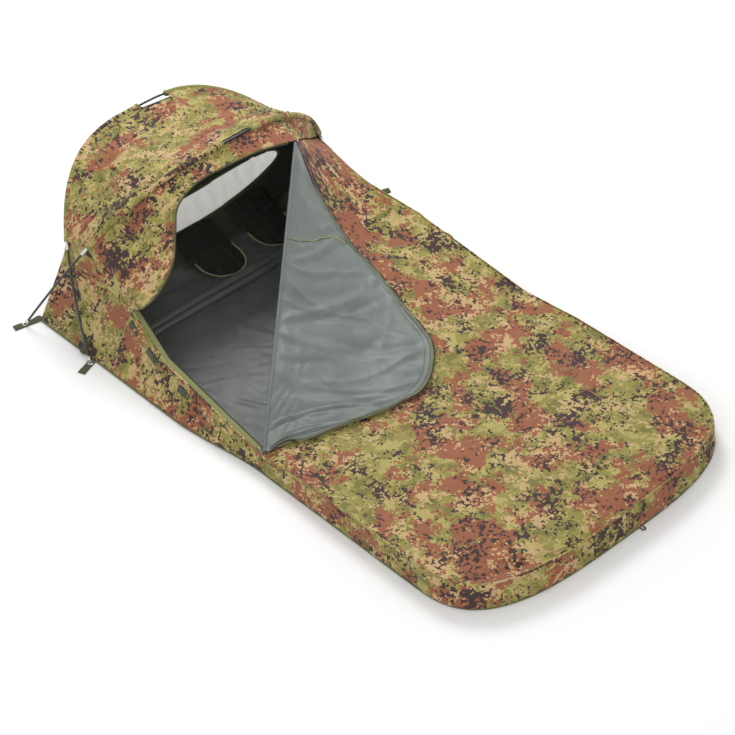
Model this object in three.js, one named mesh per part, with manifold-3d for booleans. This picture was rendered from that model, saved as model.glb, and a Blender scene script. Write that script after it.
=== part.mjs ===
// A hooped bivy sack: a fabric sleeping sack whose head end is held up by two crossed hoops of
// shock-corded pole sections. Millimetres, +Z up, +X towards the foot, origin on the ground
// under the middle of the sack. The side zip is open and the door lies folded over the sack.
import * as THREE from 'three';
import { mergeVertices } from 'three/addons/utils/BufferGeometryUtils.js';
import Module from 'manifold-3d';

const wasm = await Module();
wasm.setup();

// ---- driving dimensions -------------------------------------------------------------------
const CLOTH = 3; // thickness of the solids that stand for the cloth panels
const SEAM = 3; // how far each panel stays back from the seam line it is sewn along
const LIFT = 2; // the walls' lower edges clear the ground by this much

// Ground plan: a straight-sided sack with a blunt superellipse foot and a hollowed head edge.
const HOOD_HALF_WIDTH = 640;
const SACK_HALF_WIDTH = 600;
const WIDE_UNTIL_X = -340;
const NARROW_FROM_X = 80;
const FOOT_X = 1126;
const FOOT_DEPTH = 337;
const FOOT_POWER = 3.15;
const HEAD_CORNER_X = -1096;
const HEAD_MIDDLE_X = -970;
const FOOT_START_X = FOOT_X - FOOT_DEPTH;
const SACK_TOP_INSET = 8;
const FOOT_WALL_HEIGHT = 100;

// The hoops: z and x follow rise * (1 - |s|^power) in a plane that leans from the vertical.
const FRONT_HOOP = { name: 'front', baseX: -1120, span: 695, rise: 659, lean: 29.8, power: 2.93 };
const REAR_HOOP = { name: 'rear', baseX: -779, span: 661, rise: 704, lean: -45.5, power: 3 };
const FRONT_SLEEVE_END = 0.73; // as the hoop's own parameter s
const FRONT_SLEEVE_FAR_END = 0.86; // the brow follows the front hoop further down on the far side
const REAR_SLEEVE_END = 0.749;
const SLEEVE_GAP = [0.02, 0.2]; // the pole shows between the two halves of each sleeve

// Poles: sections of fibreglass tube on an elastic cord, joined by ferrules.
const SECTIONS = 5;
const ROD_RADIUS = 4.4;
const ROD_BORE = 3;
const CORD_RADIUS = 1.1;
const FERRULE_BORE = 5.7;
const FERRULE_RADIUS = 6.4;
const FERRULE_LENGTH = 60;
const SLEEVE_BORE = 9.2;
const SLEEVE_RADIUS = 10.8;
const TIP_START = 4; // along the hoop, from its foot on the ground
const TIP_LENGTH = 24;
const JOINT_GAP = 0.6;

// Door: it folds about the straight line from DOOR_HEAD to DOOR_FOOT.
const DOOR_HEAD = [-712, 270, 490];
const DOOR_FOOT = [80, -592, 68];
const DOOR_HEAD_ON_HOOP = 0.4; // the hood's front panel is this far round the hoop at DOOR_HEAD
const DOOR_CLEARANCE = 14; // how far the folded door floats over the sack's top
const DOOR_CLOTH = 2.4;
const TAPE_WIDTH = 13;
const TAPE_THICKNESS = 1.6;

// Upper edge of the side walls, from the front hoop to the foot, as x, |y| and z.
const SACK_EDGE = [
  [80, 592, 68],
  [330, 592, 92],
  [FOOT_START_X, SACK_HALF_WIDTH - SACK_TOP_INSET, FOOT_WALL_HEIGHT],
];
const NEAR_EDGE = [[-923, 507, 345], [-800, 528, 238], [-680, 524, 215], [-450, 573, 150], ...SACK_EDGE];
const FAR_EDGE = [
  [-923, 507, 345],
  [-890, 526, 205],
  [-680, 530, 192],
  [-450, 573, 146],
  ...SACK_EDGE,
];
const DOOR_CORNER = [-680, -524, 215];

// Free edge of the hood's front panel, from the door's corner up to the door's head.
const HOOD_EDGE = [
  DOOR_CORNER,
  [-612, -520, 262],
  [-582, -470, 318],
  [-600, -385, 388],
  [-660, -320, 448],
  [-712, -262, 495],
  [-730, -160, 530],
  [-724, -20, 536],
  [-718, 120, 526],
  DOOR_HEAD,
];

// The brow's tail: its free edge from the door's head to beside the far end of the front sleeve.
const BROW_TAIL = [
  DOOR_HEAD,
  [-800, 370, 402],
  [-872, 455, 322],
  [-924, 538, 262],
  [-973, 598, 187],
];

// Plan of the folded door's free edge, from its head round the corner to its foot.
const DOOR_EDGE = [
  [-712, 270],
  [-576, 286],
  [-312, 233],
  [-52, 180],
  [70, 152],
  [135, 108],
  [205, 20],
  [226, -80],
  [212, -180],
  [150, -390],
  [80, -592],
];

// How far the slack top stands over (or, below 0, sags under) the straight line across it,
// against the share of the way along the door's fold line.
const TOP_BULGE = [
  [0, -8],
  [0.15, -60],
  [0.32, -62],
  [0.5, -22],
  [0.8, 10],
  [1, 16],
];
const FOOT_BULGE = 24;
const TOP_ROW_SLANT = [-888, 430]; // far ends of the rows that start at the fold line's ends

// Ventilation window in the rear wall, cut by a prism that runs along x through the whole wall.
const WINDOW = { z: 142, halfWidth: 470, halfHeight: 46, power: 2.6, rim: 3 };
const WINDOW_CUT = { fromX: -1350, depth: 500 };

// Floor: the sheet's own edge, the rolled seam across it and the pockets that lie on it.
const FLOOR_INSET = 12;
const FLOOR_SEAM = { near: [-750, -590, 10.5], far: [-735, 590, 10.5], radius: 7 };
const POCKET = { backX: -1005, frontX: -783, halfWidth: 85, rise: 82, floorZ: 8, shift: 20, cloth: 2 };
const POCKET_Y = { near: -10, far: 235 };

// Webbing anchors, their eyelets, and the loop at the foot.
const WEBBING = { width: 28, z: 1.3, thickness: 2.2 };
const FRONT_STRAP = [-1107, -1128, 92]; // x where it is sewn on, x of its end, and its length
const REAR_STRAP = [-789, -762, 72];
const EYELET = { bore: 6.6, barrel: 7.3, flange: 10.5, plate: 0.8, height: 4.6 };
const FOOT_LOOP = { y: 80, size: 18, hole: [9, 11], z: 1, thickness: 3 };

// Zip slider and pull: length, width and thickness, and where each one's centre is along the tape,
// in from the edge and above it.
const ZIP_START_X = 40;
const ZIP_SLIDER = { size: [14, 9, 3], offset: [0, 10, 2.6] };
const ZIP_PULL = { size: [24, 5, 1.2], offset: [-5, 10, 5] };

// Hook-and-loop patches in a row on the near wall, each below the wall's upper edge.
const PATCH = { x: [-640, -520, -330], size: [60, 25, 2], drop: 34, lift: CLOTH / 2 + 3.5 };

// ---- small helpers ------------------------------------------------------------------------
const V = (x, y, z) => new THREE.Vector3(x, y, z);
const point = ([x, y, z]) => V(x, y, z);
const lerp = THREE.MathUtils.lerp;
const mix = (a, b, t) => a.clone().lerp(b, t);
const range = (count) => Array.from({ length: count + 1 }, (_, i) => i / count);
const plan = ([x, y]) => new THREE.Vector2(x, y);
const smoothCurve = (list) => new THREE.CatmullRomCurve3(list.map(point), false, 'centripetal');

function material(color, roughness, metalness = 0) {
  return new THREE.MeshStandardMaterial({ color, roughness, metalness });
}

const FINISH = {
  camo: () => material('#8f8152', 0.85),
  lining: () => material('#7f8882', 0.6),
  floor: () => material('#4a504c', 0.7),
  mesh: () => material('#d4d6cc', 0.9),
  darkMesh: () => material('#23251f', 0.9),
  webbing: () => material('#454a1f', 0.9),
  tape: () => material('#646e3c', 0.8),
  rod: () => material('#2e302f', 0.45),
  steel: () => material('#c3c6c6', 0.3, 1),
  cord: () => material('#e4e2d8', 0.8),
};

// Linear interpolation in a list of [key, value, value, ...] rows, by key.
function along(list, key) {
  let i = 1;
  while (i < list.length - 1 && key > list[i][0]) i += 1;
  const [a, b] = [list[i - 1], list[i]];
  const t = THREE.MathUtils.clamp((key - a[0]) / (b[0] - a[0]), 0, 1);
  return a.slice(1).map((value, k) => lerp(value, b[k + 1], t));
}

function signedVolume(geometry) {
  const p = geometry.attributes.position;
  const index = geometry.index.array;
  let sum = 0;
  for (let i = 0; i < index.length; i += 3) {
    const [a, b, c] = [0, 1, 2].map((k) => V().fromBufferAttribute(p, index[i + k]));
    sum += a.dot(b.cross(c)) / 6;
  }
  return sum;
}

// A closed body from corner points and triangles, turned so that its faces point out.
function closedBody(points, triangles) {
  const geometry = new THREE.BufferGeometry();
  const flat = points.flatMap((p) => [p.x, p.y, p.z]);
  geometry.setAttribute('position', new THREE.Float32BufferAttribute(flat, 3));
  geometry.setIndex(triangles);
  if (signedVolume(geometry) < 0) {
    geometry.setIndex(triangles.map((_, i) => triangles[3 * Math.floor(i / 3) + (2 - (i % 3))]));
  }
  return geometry;
}

// Pulls the border rows and columns of a grid in, by so many millimetres at each border.
function pulledIn(rows, { first = SEAM, last = SEAM, start = SEAM, end = SEAM } = {}) {
  const grid = rows.map((row) => row.map((p) => p.clone()));
  const shift = (p, q, gap) => {
    const most = 0.9 * p.distanceTo(q);
    p.add(q.clone().sub(p).setLength(Math.min(gap, most)));
  };
  const m = grid.length - 1;
  const n = grid[0].length - 1;
  for (const row of grid) {
    shift(row[0], row[1], start);
    shift(row[n], row[n - 1], end);
  }
  for (let j = 0; j <= n; j += 1) {
    shift(grid[0][j], grid[1][j], first);
    shift(grid[m][j], grid[m - 1][j], last);
  }
  return grid;
}

// A closed sheet of cloth: a grid of points, thickened half to each side.
function sheet(rows, thickness = CLOTH) {
  const m = rows.length;
  const n = rows[0].length;
  const { clamp } = THREE.MathUtils;
  const at = (i, j) => rows[clamp(i, 0, m - 1)][clamp(j, 0, n - 1)];
  const layer = (side) => rows.flatMap((row, i) => row.map((p, j) => {
    const u = at(i + 1, j).clone().sub(at(i - 1, j));
    const v = at(i, j + 1).clone().sub(at(i, j - 1));
    return u.cross(v).setLength((side * thickness) / 2).add(p);
  }));
  const points = [...layer(1), ...layer(-1)];
  const triangles = [];
  const quad = (a, b, c, d) => triangles.push(a, b, c, a, c, d);
  const under = m * n;
  for (let i = 0; i < m - 1; i += 1) {
    for (let j = 0; j < n - 1; j += 1) {
      const a = i * n + j;
      quad(a, a + n, a + n + 1, a + 1);
      quad(under + a, under + a + 1, under + a + n + 1, under + a + n);
    }
  }
  const rim = [
    ...Array.from({ length: n - 1 }, (_, j) => j),
    ...Array.from({ length: m - 1 }, (_, i) => i * n + n - 1),
    ...Array.from({ length: n - 1 }, (_, j) => m * n - 1 - j),
    ...Array.from({ length: m - 1 }, (_, i) => (m - 1 - i) * n),
  ];
  rim.forEach((a, k) => {
    const b = rim[(k + 1) % rim.length];
    quad(a, b, under + b, under + a);
  });
  return closedBody(points, triangles);
}

// A ruled grid between two curves given as functions of the same parameter from 0 to 1.
function ruled(from, to, steps, columns, bulge = () => 0) {
  return range(steps).map((t) => range(columns).map((w) => {
    const p = mix(from(t), to(t), w);
    p.z += bulge(t) * 4 * w * (1 - w);
    return p;
  }));
}

function polygon(sides, radius) {
  return range(sides).slice(0, -1).map((t) => {
    const angle = 2 * Math.PI * t;
    return new THREE.Vector2(radius * Math.cos(angle), radius * Math.sin(angle));
  });
}

// One stretch of a curve, as a curve, between two distances along it.
class Stretch extends THREE.Curve {
  constructor(curve, from, to) {
    super();
    Object.assign(this, { curve, from, to });
  }

  getPoint(t, target = V()) {
    return this.curve.getPointAt(lerp(this.from, this.to, t) / this.curve.getLength(), target);
  }
}

// A tube along a curve; a bore of 0 leaves it solid.
function tube(curve, steps, sides, radius, bore = 0) {
  const shape = new THREE.Shape(polygon(sides, radius));
  if (bore > 0) shape.holes.push(new THREE.Path(polygon(sides, bore)));
  return new THREE.ExtrudeGeometry(shape, { steps, extrudePath: curve, bevelEnabled: false });
}

function welded(geometry) {
  const copy = geometry.clone();
  copy.deleteAttribute('normal');
  copy.deleteAttribute('uv');
  return mergeVertices(copy, 1e-4);
}

function solid(geometry) {
  const { attributes, index } = welded(geometry);
  return new wasm.Manifold(new wasm.Mesh({
    numProp: 3,
    vertProperties: new Float32Array(attributes.position.array),
    triVerts: new Uint32Array(index.array),
  }));
}

function fromSolid(body) {
  const { vertProperties, triVerts } = body.getMesh();
  const geometry = new THREE.BufferGeometry();
  geometry.setAttribute('position', new THREE.BufferAttribute(vertProperties, 3));
  geometry.setIndex(new THREE.BufferAttribute(triVerts, 1));
  return geometry;
}

// ---- the outline of the sack --------------------------------------------------------------
class Hoop extends THREE.Curve {
  constructor(size) {
    super();
    this.size = size;
    this.arcLengthDivisions = 800;
  }

  at(s, target = V()) {
    const { baseX, span, rise, lean, power } = this.size;
    const height = rise * (1 - Math.abs(s) ** power);
    const angle = THREE.MathUtils.degToRad(lean);
    return target.set(baseX + height * Math.sin(angle), span * s, height * Math.cos(angle));
  }

  getPoint(t, target = V()) {
    return this.at(2 * t - 1, target);
  }

  // A point so far inside the hoop, square to it in its own plane.
  inside(s, distance) {
    const { span, rise, lean, power } = this.size;
    const slope = -rise * power * Math.abs(s) ** (power - 1) * Math.sign(s);
    const scale = distance / Math.hypot(slope, span);
    const angle = THREE.MathUtils.degToRad(lean);
    const drop = V(-span * scale * Math.sin(angle), slope * scale, -span * scale * Math.cos(angle));
    return this.at(s).add(drop);
  }

  // Distance along the hoop, from its near foot, to the place with parameter s.
  distance(s) {
    const lengths = this.getLengths();
    const k = ((s + 1) / 2) * (lengths.length - 1);
    const low = Math.min(Math.floor(k), lengths.length - 2);
    return lerp(lengths[low], lengths[low + 1], k - low);
  }
}

const frontHoop = new Hoop(FRONT_HOOP);
const rearHoop = new Hoop(REAR_HOOP);

function groundHalfWidth(x) {
  const t = THREE.MathUtils.smoothstep(x, WIDE_UNTIL_X, NARROW_FROM_X);
  return lerp(HOOD_HALF_WIDTH, SACK_HALF_WIDTH, t);
}

// The foot's outline at an angle from -90 degrees (near side) to 90 (far side).
function footPoint(angle, inset, z) {
  const c = Math.cos(angle);
  const s = Math.sin(angle);
  return V(
    FOOT_START_X + (FOOT_DEPTH - inset) * Math.abs(c) ** (2 / FOOT_POWER),
    (SACK_HALF_WIDTH - inset) * Math.sign(s) * Math.abs(s) ** (2 / FOOT_POWER),
    z,
  );
}

const headEdgeX = (y) => lerp(HEAD_MIDDLE_X, HEAD_CORNER_X, (y / HOOD_HALF_WIDTH) ** 2);

function topEdge(x, side) {
  const [y, z] = along(side > 0 ? FAR_EDGE : NEAR_EDGE, x);
  return V(x, side * y, z);
}

// The slack top of the sack, as rows from the near edge (or the door's fold line) to the far edge.
const TOP_COLUMNS = 10;

function topRow(near, far, bulge) {
  return range(TOP_COLUMNS).map((w) => {
    const p = mix(near, far, w);
    p.z += bulge * 4 * w * (1 - w);
    return p;
  });
}

function topRows() {
  const head = point(DOOR_HEAD);
  const foot = point(DOOR_FOOT);
  const rows = [];
  for (const t of range(10)) {
    const far = topEdge(lerp(...TOP_ROW_SLANT, t), 1);
    rows.push(topRow(mix(head, foot, t), far, along(TOP_BULGE, t)[0]));
  }
  for (const t of range(5).slice(1)) {
    const near = topEdge(lerp(NARROW_FROM_X, FOOT_START_X, t), -1);
    const far = topEdge(lerp(TOP_ROW_SLANT[1], FOOT_START_X, t), 1);
    rows.push(topRow(near, far, lerp(TOP_BULGE.at(-1)[1], FOOT_BULGE, t)));
  }
  for (const t of range(6).slice(1)) {
    const angle = THREE.MathUtils.degToRad(lerp(90, 5, t));
    const near = footPoint(-angle, SACK_TOP_INSET, FOOT_WALL_HEIGHT);
    const far = footPoint(angle, SACK_TOP_INSET, FOOT_WALL_HEIGHT);
    rows.push(topRow(near, far, FOOT_BULGE * (1 - t ** 3)));
  }
  return rows;
}

const TOP_GRID = topRows();

// Height of the slack top under a point of the plan.
function topHeight(x, y) {
  const inTriangle = (a, b, c) => {
    const d = (b.x - a.x) * (c.y - a.y) - (c.x - a.x) * (b.y - a.y);
    const v = ((x - a.x) * (c.y - a.y) - (c.x - a.x) * (y - a.y)) / d;
    const w = ((b.x - a.x) * (y - a.y) - (x - a.x) * (b.y - a.y)) / d;
    if (v < -1e-6 || w < -1e-6 || v + w > 1 + 1e-6) return null;
    return a.z + v * (b.z - a.z) + w * (c.z - a.z);
  };
  for (let i = 0; i < TOP_GRID.length - 1; i += 1) {
    for (let j = 0; j < TOP_COLUMNS; j += 1) {
      const [a, b] = [TOP_GRID[i][j], TOP_GRID[i + 1][j]];
      const [c, d] = [TOP_GRID[i + 1][j + 1], TOP_GRID[i][j + 1]];
      const z = inTriangle(a, b, c) ?? inTriangle(a, c, d);
      if (z !== null) return z;
    }
  }
  const near = point(DOOR_HEAD);
  const fold = point(DOOR_FOOT).sub(near);
  const t = ((x - near.x) * fold.x + (y - near.y) * fold.y) / (fold.x ** 2 + fold.y ** 2);
  return near.z + THREE.MathUtils.clamp(t, 0, 1) * fold.z;
}

// ---- poles --------------------------------------------------------------------------------
function poleTip(hoop, farEnd) {
  const pin = [[0, 0], [2.2, 0], [2.4, 9]];
  const collar = [[5, 10], [5, 14], [4.2, 15], [4.2, TIP_LENGTH], [0, TIP_LENGTH]];
  const geometry = new THREE.LatheGeometry([...pin, ...collar].map(plan), 8);
  const stretch = new Stretch(hoop, TIP_START, TIP_START + TIP_LENGTH);
  const [start, end] = [0, 1].map((t) => stretch.getPoint(t));
  if (farEnd) [start, end].forEach((p) => { p.y = -p.y; });
  const direction = end.clone().sub(start).normalize();
  geometry.applyQuaternion(new THREE.Quaternion().setFromUnitVectors(V(0, 1, 0), direction));
  geometry.translate(start.x, start.y, start.z);
  return geometry;
}

function poleParts(hoop) {
  const { name } = hoop.size;
  const first = TIP_START + TIP_LENGTH + JOINT_GAP;
  const last = hoop.getLength() - first;
  const section = (last - first) / SECTIONS;
  const parts = [];
  for (let i = 0; i < SECTIONS; i += 1) {
    const from = first + i * section + JOINT_GAP / 2;
    const stretch = new Stretch(hoop, from, from + section - JOINT_GAP);
    const rod = tube(stretch, 10, 7, ROD_RADIUS, ROD_BORE);
    parts.push([`${name}_pole_section_${i + 1}`, rod, FINISH.rod()]);
  }
  for (let i = 1; i < SECTIONS; i += 1) {
    const middle = first + i * section;
    const ferrule = new Stretch(hoop, middle - FERRULE_LENGTH / 2, middle + FERRULE_LENGTH / 2);
    const geometry = tube(ferrule, 2, 7, FERRULE_RADIUS, FERRULE_BORE);
    parts.push([`${name}_pole_ferrule_${i}`, geometry, FINISH.steel()]);
  }
  const cord = new Stretch(hoop, first + 1, last - 1);
  parts.push([`${name}_pole_shock_cord`, tube(cord, 46, 5, CORD_RADIUS), FINISH.cord()]);
  parts.push([`${name}_pole_tip_near`, poleTip(hoop, false), FINISH.steel()]);
  parts.push([`${name}_pole_tip_far`, poleTip(hoop, true), FINISH.steel()]);
  return parts;
}

function sleeveParts(hoop, nearEnd, farEnd) {
  const halves = [['near', -nearEnd, SLEEVE_GAP[0]], ['far', SLEEVE_GAP[1], farEnd]];
  return halves.map(([side, from, to]) => {
    const stretch = new Stretch(hoop, hoop.distance(from), hoop.distance(to));
    const geometry = tube(stretch, 14, 6, SLEEVE_RADIUS, SLEEVE_BORE);
    return [`${hoop.size.name}_sleeve_${side}`, geometry, FINISH.camo()];
  });
}

// ---- cloth panels -------------------------------------------------------------------------
const BESIDE_SLEEVE = SLEEVE_RADIUS + 5;

function roofPanel() {
  const from = (t) => rearHoop.at(lerp(-REAR_SLEEVE_END, REAR_SLEEVE_END, t));
  const to = (t) => frontHoop.at(lerp(-FRONT_SLEEVE_END, FRONT_SLEEVE_END, t));
  const sag = (t) => -14 * Math.sin(Math.PI * t);
  return sheet(pulledIn(ruled(from, to, 20, 5, sag), { start: BESIDE_SLEEVE, end: BESIDE_SLEEVE }));
}

function rearWallRows(columns) {
  const top = (t) => rearHoop.inside(lerp(-REAR_SLEEVE_END, REAR_SLEEVE_END, t), BESIDE_SLEEVE);
  const bottom = (t) => {
    const y = lerp(-HOOD_HALF_WIDTH, HOOD_HALF_WIDTH, t) * 0.985;
    return V(headEdgeX(y), y, LIFT);
  };
  return pulledIn(ruled(bottom, top, 18, columns), { start: 0, end: 0, first: 8, last: 8 });
}

// A prism through the rear wall, with the window's outline grown or shrunk by so many millimetres.
function windowPrism(grow) {
  const { z, halfWidth, halfHeight, power } = WINDOW;
  const outline = range(40).slice(0, -1).map((t) => {
    const angle = 2 * Math.PI * t;
    const [c, s] = [Math.cos(angle), Math.sin(angle)];
    return new THREE.Vector2(
      (halfWidth + grow) * Math.sign(c) * Math.abs(c) ** (2 / power),
      z + (halfHeight + grow) * Math.sign(s) * Math.abs(s) ** (2 / power),
    );
  });
  const options = { depth: WINDOW_CUT.depth, bevelEnabled: false };
  const geometry = new THREE.ExtrudeGeometry(new THREE.Shape(outline), options);
  geometry.applyMatrix4(new THREE.Matrix4().makeBasis(V(0, 1, 0), V(0, 0, 1), V(1, 0, 0)));
  geometry.translate(WINDOW_CUT.fromX, 0, 0);
  return solid(geometry);
}

function rearWall() {
  return fromSolid(solid(sheet(rearWallRows(7))).subtract(windowPrism(0)));
}

function ventMesh() {
  const cloth = solid(sheet(rearWallRows(7), 1.2));
  return fromSolid(cloth.intersect(windowPrism(-WINDOW.rim)));
}

const REAR_EDGE_TOP = rearHoop.at(REAR_SLEEVE_END);
const FRONT_EDGE_TOP = frontHoop.at(FRONT_SLEEVE_END);
const POLE_CLEARANCE = 20; // the hood's side hangs this far inside the poles that leave the sleeves
const WALL_START_X = -700; // on the ground, where the hood's side meets the sack's wall

function hoodSide(side) {
  const upper = (t) => {
    const x = lerp(REAR_EDGE_TOP.x, DOOR_CORNER[0], t);
    const share = (x - REAR_EDGE_TOP.x) / (FRONT_EDGE_TOP.x - REAR_EDGE_TOP.x);
    const p = share > 1 ? topEdge(x, side) : mix(REAR_EDGE_TOP, FRONT_EDGE_TOP, share);
    const inset = POLE_CLEARANCE * (1 - THREE.MathUtils.smoothstep(share, 1, 2.6));
    p.y = side * (Math.abs(p.y) - inset);
    return p;
  };
  const lower = (t) => V(lerp(HEAD_CORNER_X, WALL_START_X, t), side * HOOD_HALF_WIDTH, LIFT);
  return sheet(pulledIn(ruled(lower, upper, 10, 4), { start: 0, end: 9 }));
}

function sackWall(side) {
  const upper = (t) => topEdge(lerp(DOOR_CORNER[0], FOOT_START_X, t), side);
  const lower = (t) => {
    const x = lerp(WALL_START_X, FOOT_START_X, t);
    return V(x, side * groundHalfWidth(x), LIFT);
  };
  return sheet(pulledIn(ruled(lower, upper, 18, 2), { start: 0, end: 4 }));
}

function footWall() {
  const angle = (t) => THREE.MathUtils.degToRad(lerp(-90, 90, t));
  const lower = (t) => footPoint(angle(t), 0, LIFT);
  const upper = (t) => footPoint(angle(t), SACK_TOP_INSET, FOOT_WALL_HEIGHT);
  return sheet(pulledIn(ruled(lower, upper, 28, 2), { start: 0, end: 4 }));
}

function sackTop() {
  return sheet(pulledIn(TOP_GRID, { first: 6, last: 4, start: 5, end: 6 }));
}

// A strip of the hood's front, from beside the hoop between two of its places to a free edge.
function hoodStrip(from, to, edge, steps, rise) {
  const arc = new Stretch(frontHoop, frontHoop.distance(from), frontHoop.distance(to));
  const free = smoothCurve(edge);
  const besideHoop = (t) => {
    const p = arc.getPoint(t);
    return p.add(free.getPointAt(t).sub(p).setLength(BESIDE_SLEEVE));
  };
  return ruled(besideHoop, (t) => free.getPointAt(t), steps, 4, (t) => rise * (1 - t));
}

// The hood's front: from the near side up under the front hoop, along the brow to the door's head,
// and on as the brow's tail to the far end of the sleeve.
function hoodFront() {
  const rows = [
    ...hoodStrip(-FRONT_SLEEVE_END, DOOR_HEAD_ON_HOOP, HOOD_EDGE, 20, 10),
    ...hoodStrip(DOOR_HEAD_ON_HOOP, FRONT_SLEEVE_FAR_END, BROW_TAIL, 8, 0).slice(1),
  ];
  return sheet(pulledIn(rows, { start: 0, end: 1, first: 6, last: 6 }));
}

function groundsheet() {
  const half = HOOD_HALF_WIDTH - FLOOR_INSET;
  const head = range(12).map((t) => {
    const y = lerp(half, -half, t);
    return new THREE.Vector2(headEdgeX(y) + FLOOR_INSET, y);
  });
  const side = (sign) => range(8).map((t) => {
    const x = lerp(HEAD_CORNER_X + 40, FOOT_START_X - 10, t);
    return new THREE.Vector2(x, sign * (groundHalfWidth(x) - FLOOR_INSET));
  });
  const foot = range(24).map((t) => {
    const p = footPoint(THREE.MathUtils.degToRad(lerp(-90, 90, t)), FLOOR_INSET, 0);
    return new THREE.Vector2(p.x, p.y);
  });
  const outline = [...head, ...side(-1), ...foot, ...side(1).reverse()];
  const options = { depth: CLOTH, bevelEnabled: false };
  return new THREE.ExtrudeGeometry(new THREE.Shape(outline), options);
}

// A rolled double seam that crosses the floor where the hood ends.
function floorSeam() {
  const line = new THREE.LineCurve3(point(FLOOR_SEAM.near), point(FLOOR_SEAM.far));
  return tube(line, 1, 10, FLOOR_SEAM.radius);
}

// A mesh pocket that hangs from the window's lower edge and lies forward on the floor.
function pocket(y) {
  const { backX, frontX, halfWidth, rise, floorZ, shift, cloth } = POCKET;
  const grid = range(9).map((t) => {
    const rounding = Math.max(0, (t - 0.6) / 0.4) ** 2;
    const half = halfWidth * Math.sqrt(Math.max(0.05, 1 - rounding));
    const z = floorZ + rise * (1 - t) ** 2.2;
    return [-1, -0.5, 0, 0.5, 1].map((k) => V(lerp(backX, frontX, t), y + shift * t + k * half, z));
  });
  return sheet(grid, cloth);
}

// ---- the door -----------------------------------------------------------------------------
const doorFold = new THREE.LineCurve3(point(DOOR_HEAD), point(DOOR_FOOT));
const doorPlan = smoothCurve(DOOR_EDGE.map(([x, y]) => [x, y, 0]));

function overTop(p, clearance) {
  return V(p.x, p.y, topHeight(p.x, p.y) + clearance);
}

// A row of points across the folded door, from its fold line to its free edge.
function doorRow(t, steps, from, to) {
  const fold = doorFold.getPointAt(t);
  const free = doorPlan.getPointAt(t);
  const length = Math.hypot(free.x - fold.x, free.y - fold.y);
  return range(steps).map((w) => {
    const share = lerp(from(length), to(length), w);
    const p = V(lerp(fold.x, free.x, share), lerp(fold.y, free.y, share), 0);
    return overTop(p, DOOR_CLEARANCE);
  });
}

function doorPanel() {
  const rows = range(18).map((t) => doorRow(
    lerp(0.042, 0.965, t), 8, (length) => 9 / length, (length) => 1 - (TAPE_WIDTH + 3) / length,
  ));
  return sheet(rows, DOOR_CLOTH);
}

function doorTape() {
  const rows = range(30).map((t) => doorRow(
    lerp(0.04, 0.96, t), 1, (length) => 1 - TAPE_WIDTH / length, () => 1,
  ));
  return sheet(rows, TAPE_THICKNESS);
}

// The zip tape on the fixed side: along the near wall's edge, round the corner and up the hood.
const INTO_OPENING = V(0, 0.96, 0.28); // from the near wall's edge

function wallTape() {
  const rows = range(6).slice(0, -1).map((t) => {
    const p = topEdge(lerp(ZIP_START_X, DOOR_CORNER[0], t), -1);
    return [2.5, 2.5 + TAPE_WIDTH].map((d) => p.clone().addScaledVector(INTO_OPENING, d));
  });
  return sheet(rows, TAPE_THICKNESS);
}

function hoodTape() {
  const hood = smoothCurve(HOOD_EDGE);
  const rows = range(22).map((t) => {
    const share = lerp(0.06, 0.97, t);
    const p = hood.getPointAt(share);
    const fold = doorFold.getPointAt(1 - lerp(0.45, 1, share));
    const into = fold.sub(p).normalize();
    return [3, 3 + TAPE_WIDTH].map((d) => p.clone().addScaledVector(into, d));
  });
  return sheet(rows, TAPE_THICKNESS);
}

// The zip's slider runs along the straight stretch of the near wall's tape.
const ZIP_DIRECTION = topEdge(-450, -1).sub(topEdge(80, -1)).normalize();

function zipPart({ size, offset }) {
  const up = ZIP_DIRECTION.clone().cross(INTO_OPENING).normalize();
  if (up.z < 0) up.negate();
  const side = ZIP_DIRECTION.clone().cross(up);
  const geometry = new THREE.BoxGeometry(...size);
  geometry.applyMatrix4(new THREE.Matrix4().makeBasis(ZIP_DIRECTION, side.clone().negate(), up));
  const centre = topEdge(ZIP_START_X, -1);
  [ZIP_DIRECTION, side, up].forEach((axis, i) => centre.addScaledVector(axis, offset[i]));
  return geometry.translate(centre.x, centre.y, centre.z);
}

// ---- fastenings ---------------------------------------------------------------------------
function flatShape(outline, hole, z, depth) {
  const shape = new THREE.Shape(outline.map(plan));
  shape.holes.push(new THREE.Path(hole));
  return new THREE.ExtrudeGeometry(shape, { depth, bevelEnabled: false }).translate(0, 0, z);
}

function eyeletCentre(hoop, side) {
  const p = new Stretch(hoop, 0, 10).getPoint(0.3);
  return V(p.x, side * Math.abs(p.y), 0);
}

// A webbing tab sewn to the ground edge; it lies out on the ground round its eyelet.
function anchorStrap(hoop, side, rootX, endX, length) {
  const eyelet = eyeletCentre(hoop, side);
  const half = WEBBING.width / 2;
  const rootY = HOOD_HALF_WIDTH + 3;
  const endY = rootY + length;
  const root = [[rootX - half, rootY], [rootX + half, rootY]];
  const end = [[endX + half, endY], [endX - half, endY]];
  const outline = [...root, ...end].map(([x, y]) => [x, side * y]);
  const centre = new THREE.Vector2(eyelet.x, eyelet.y);
  const hole = polygon(12, EYELET.barrel + 0.6).map((p) => p.add(centre));
  return flatShape(outline, hole, WEBBING.z, WEBBING.thickness);
}

function eyeletRing(hoop, side) {
  const { bore, barrel, flange, plate, height } = EYELET;
  const outline = [
    [bore, 0], [flange, 0], [flange, plate], [barrel, plate],
    [barrel, height - plate], [flange, height - plate], [flange, height], [bore, height], [bore, 0],
  ];
  const geometry = new THREE.LatheGeometry(outline.map(plan), 10);
  const centre = eyeletCentre(hoop, side);
  return geometry.rotateX(Math.PI / 2).translate(centre.x, centre.y, 0.1);
}

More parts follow.
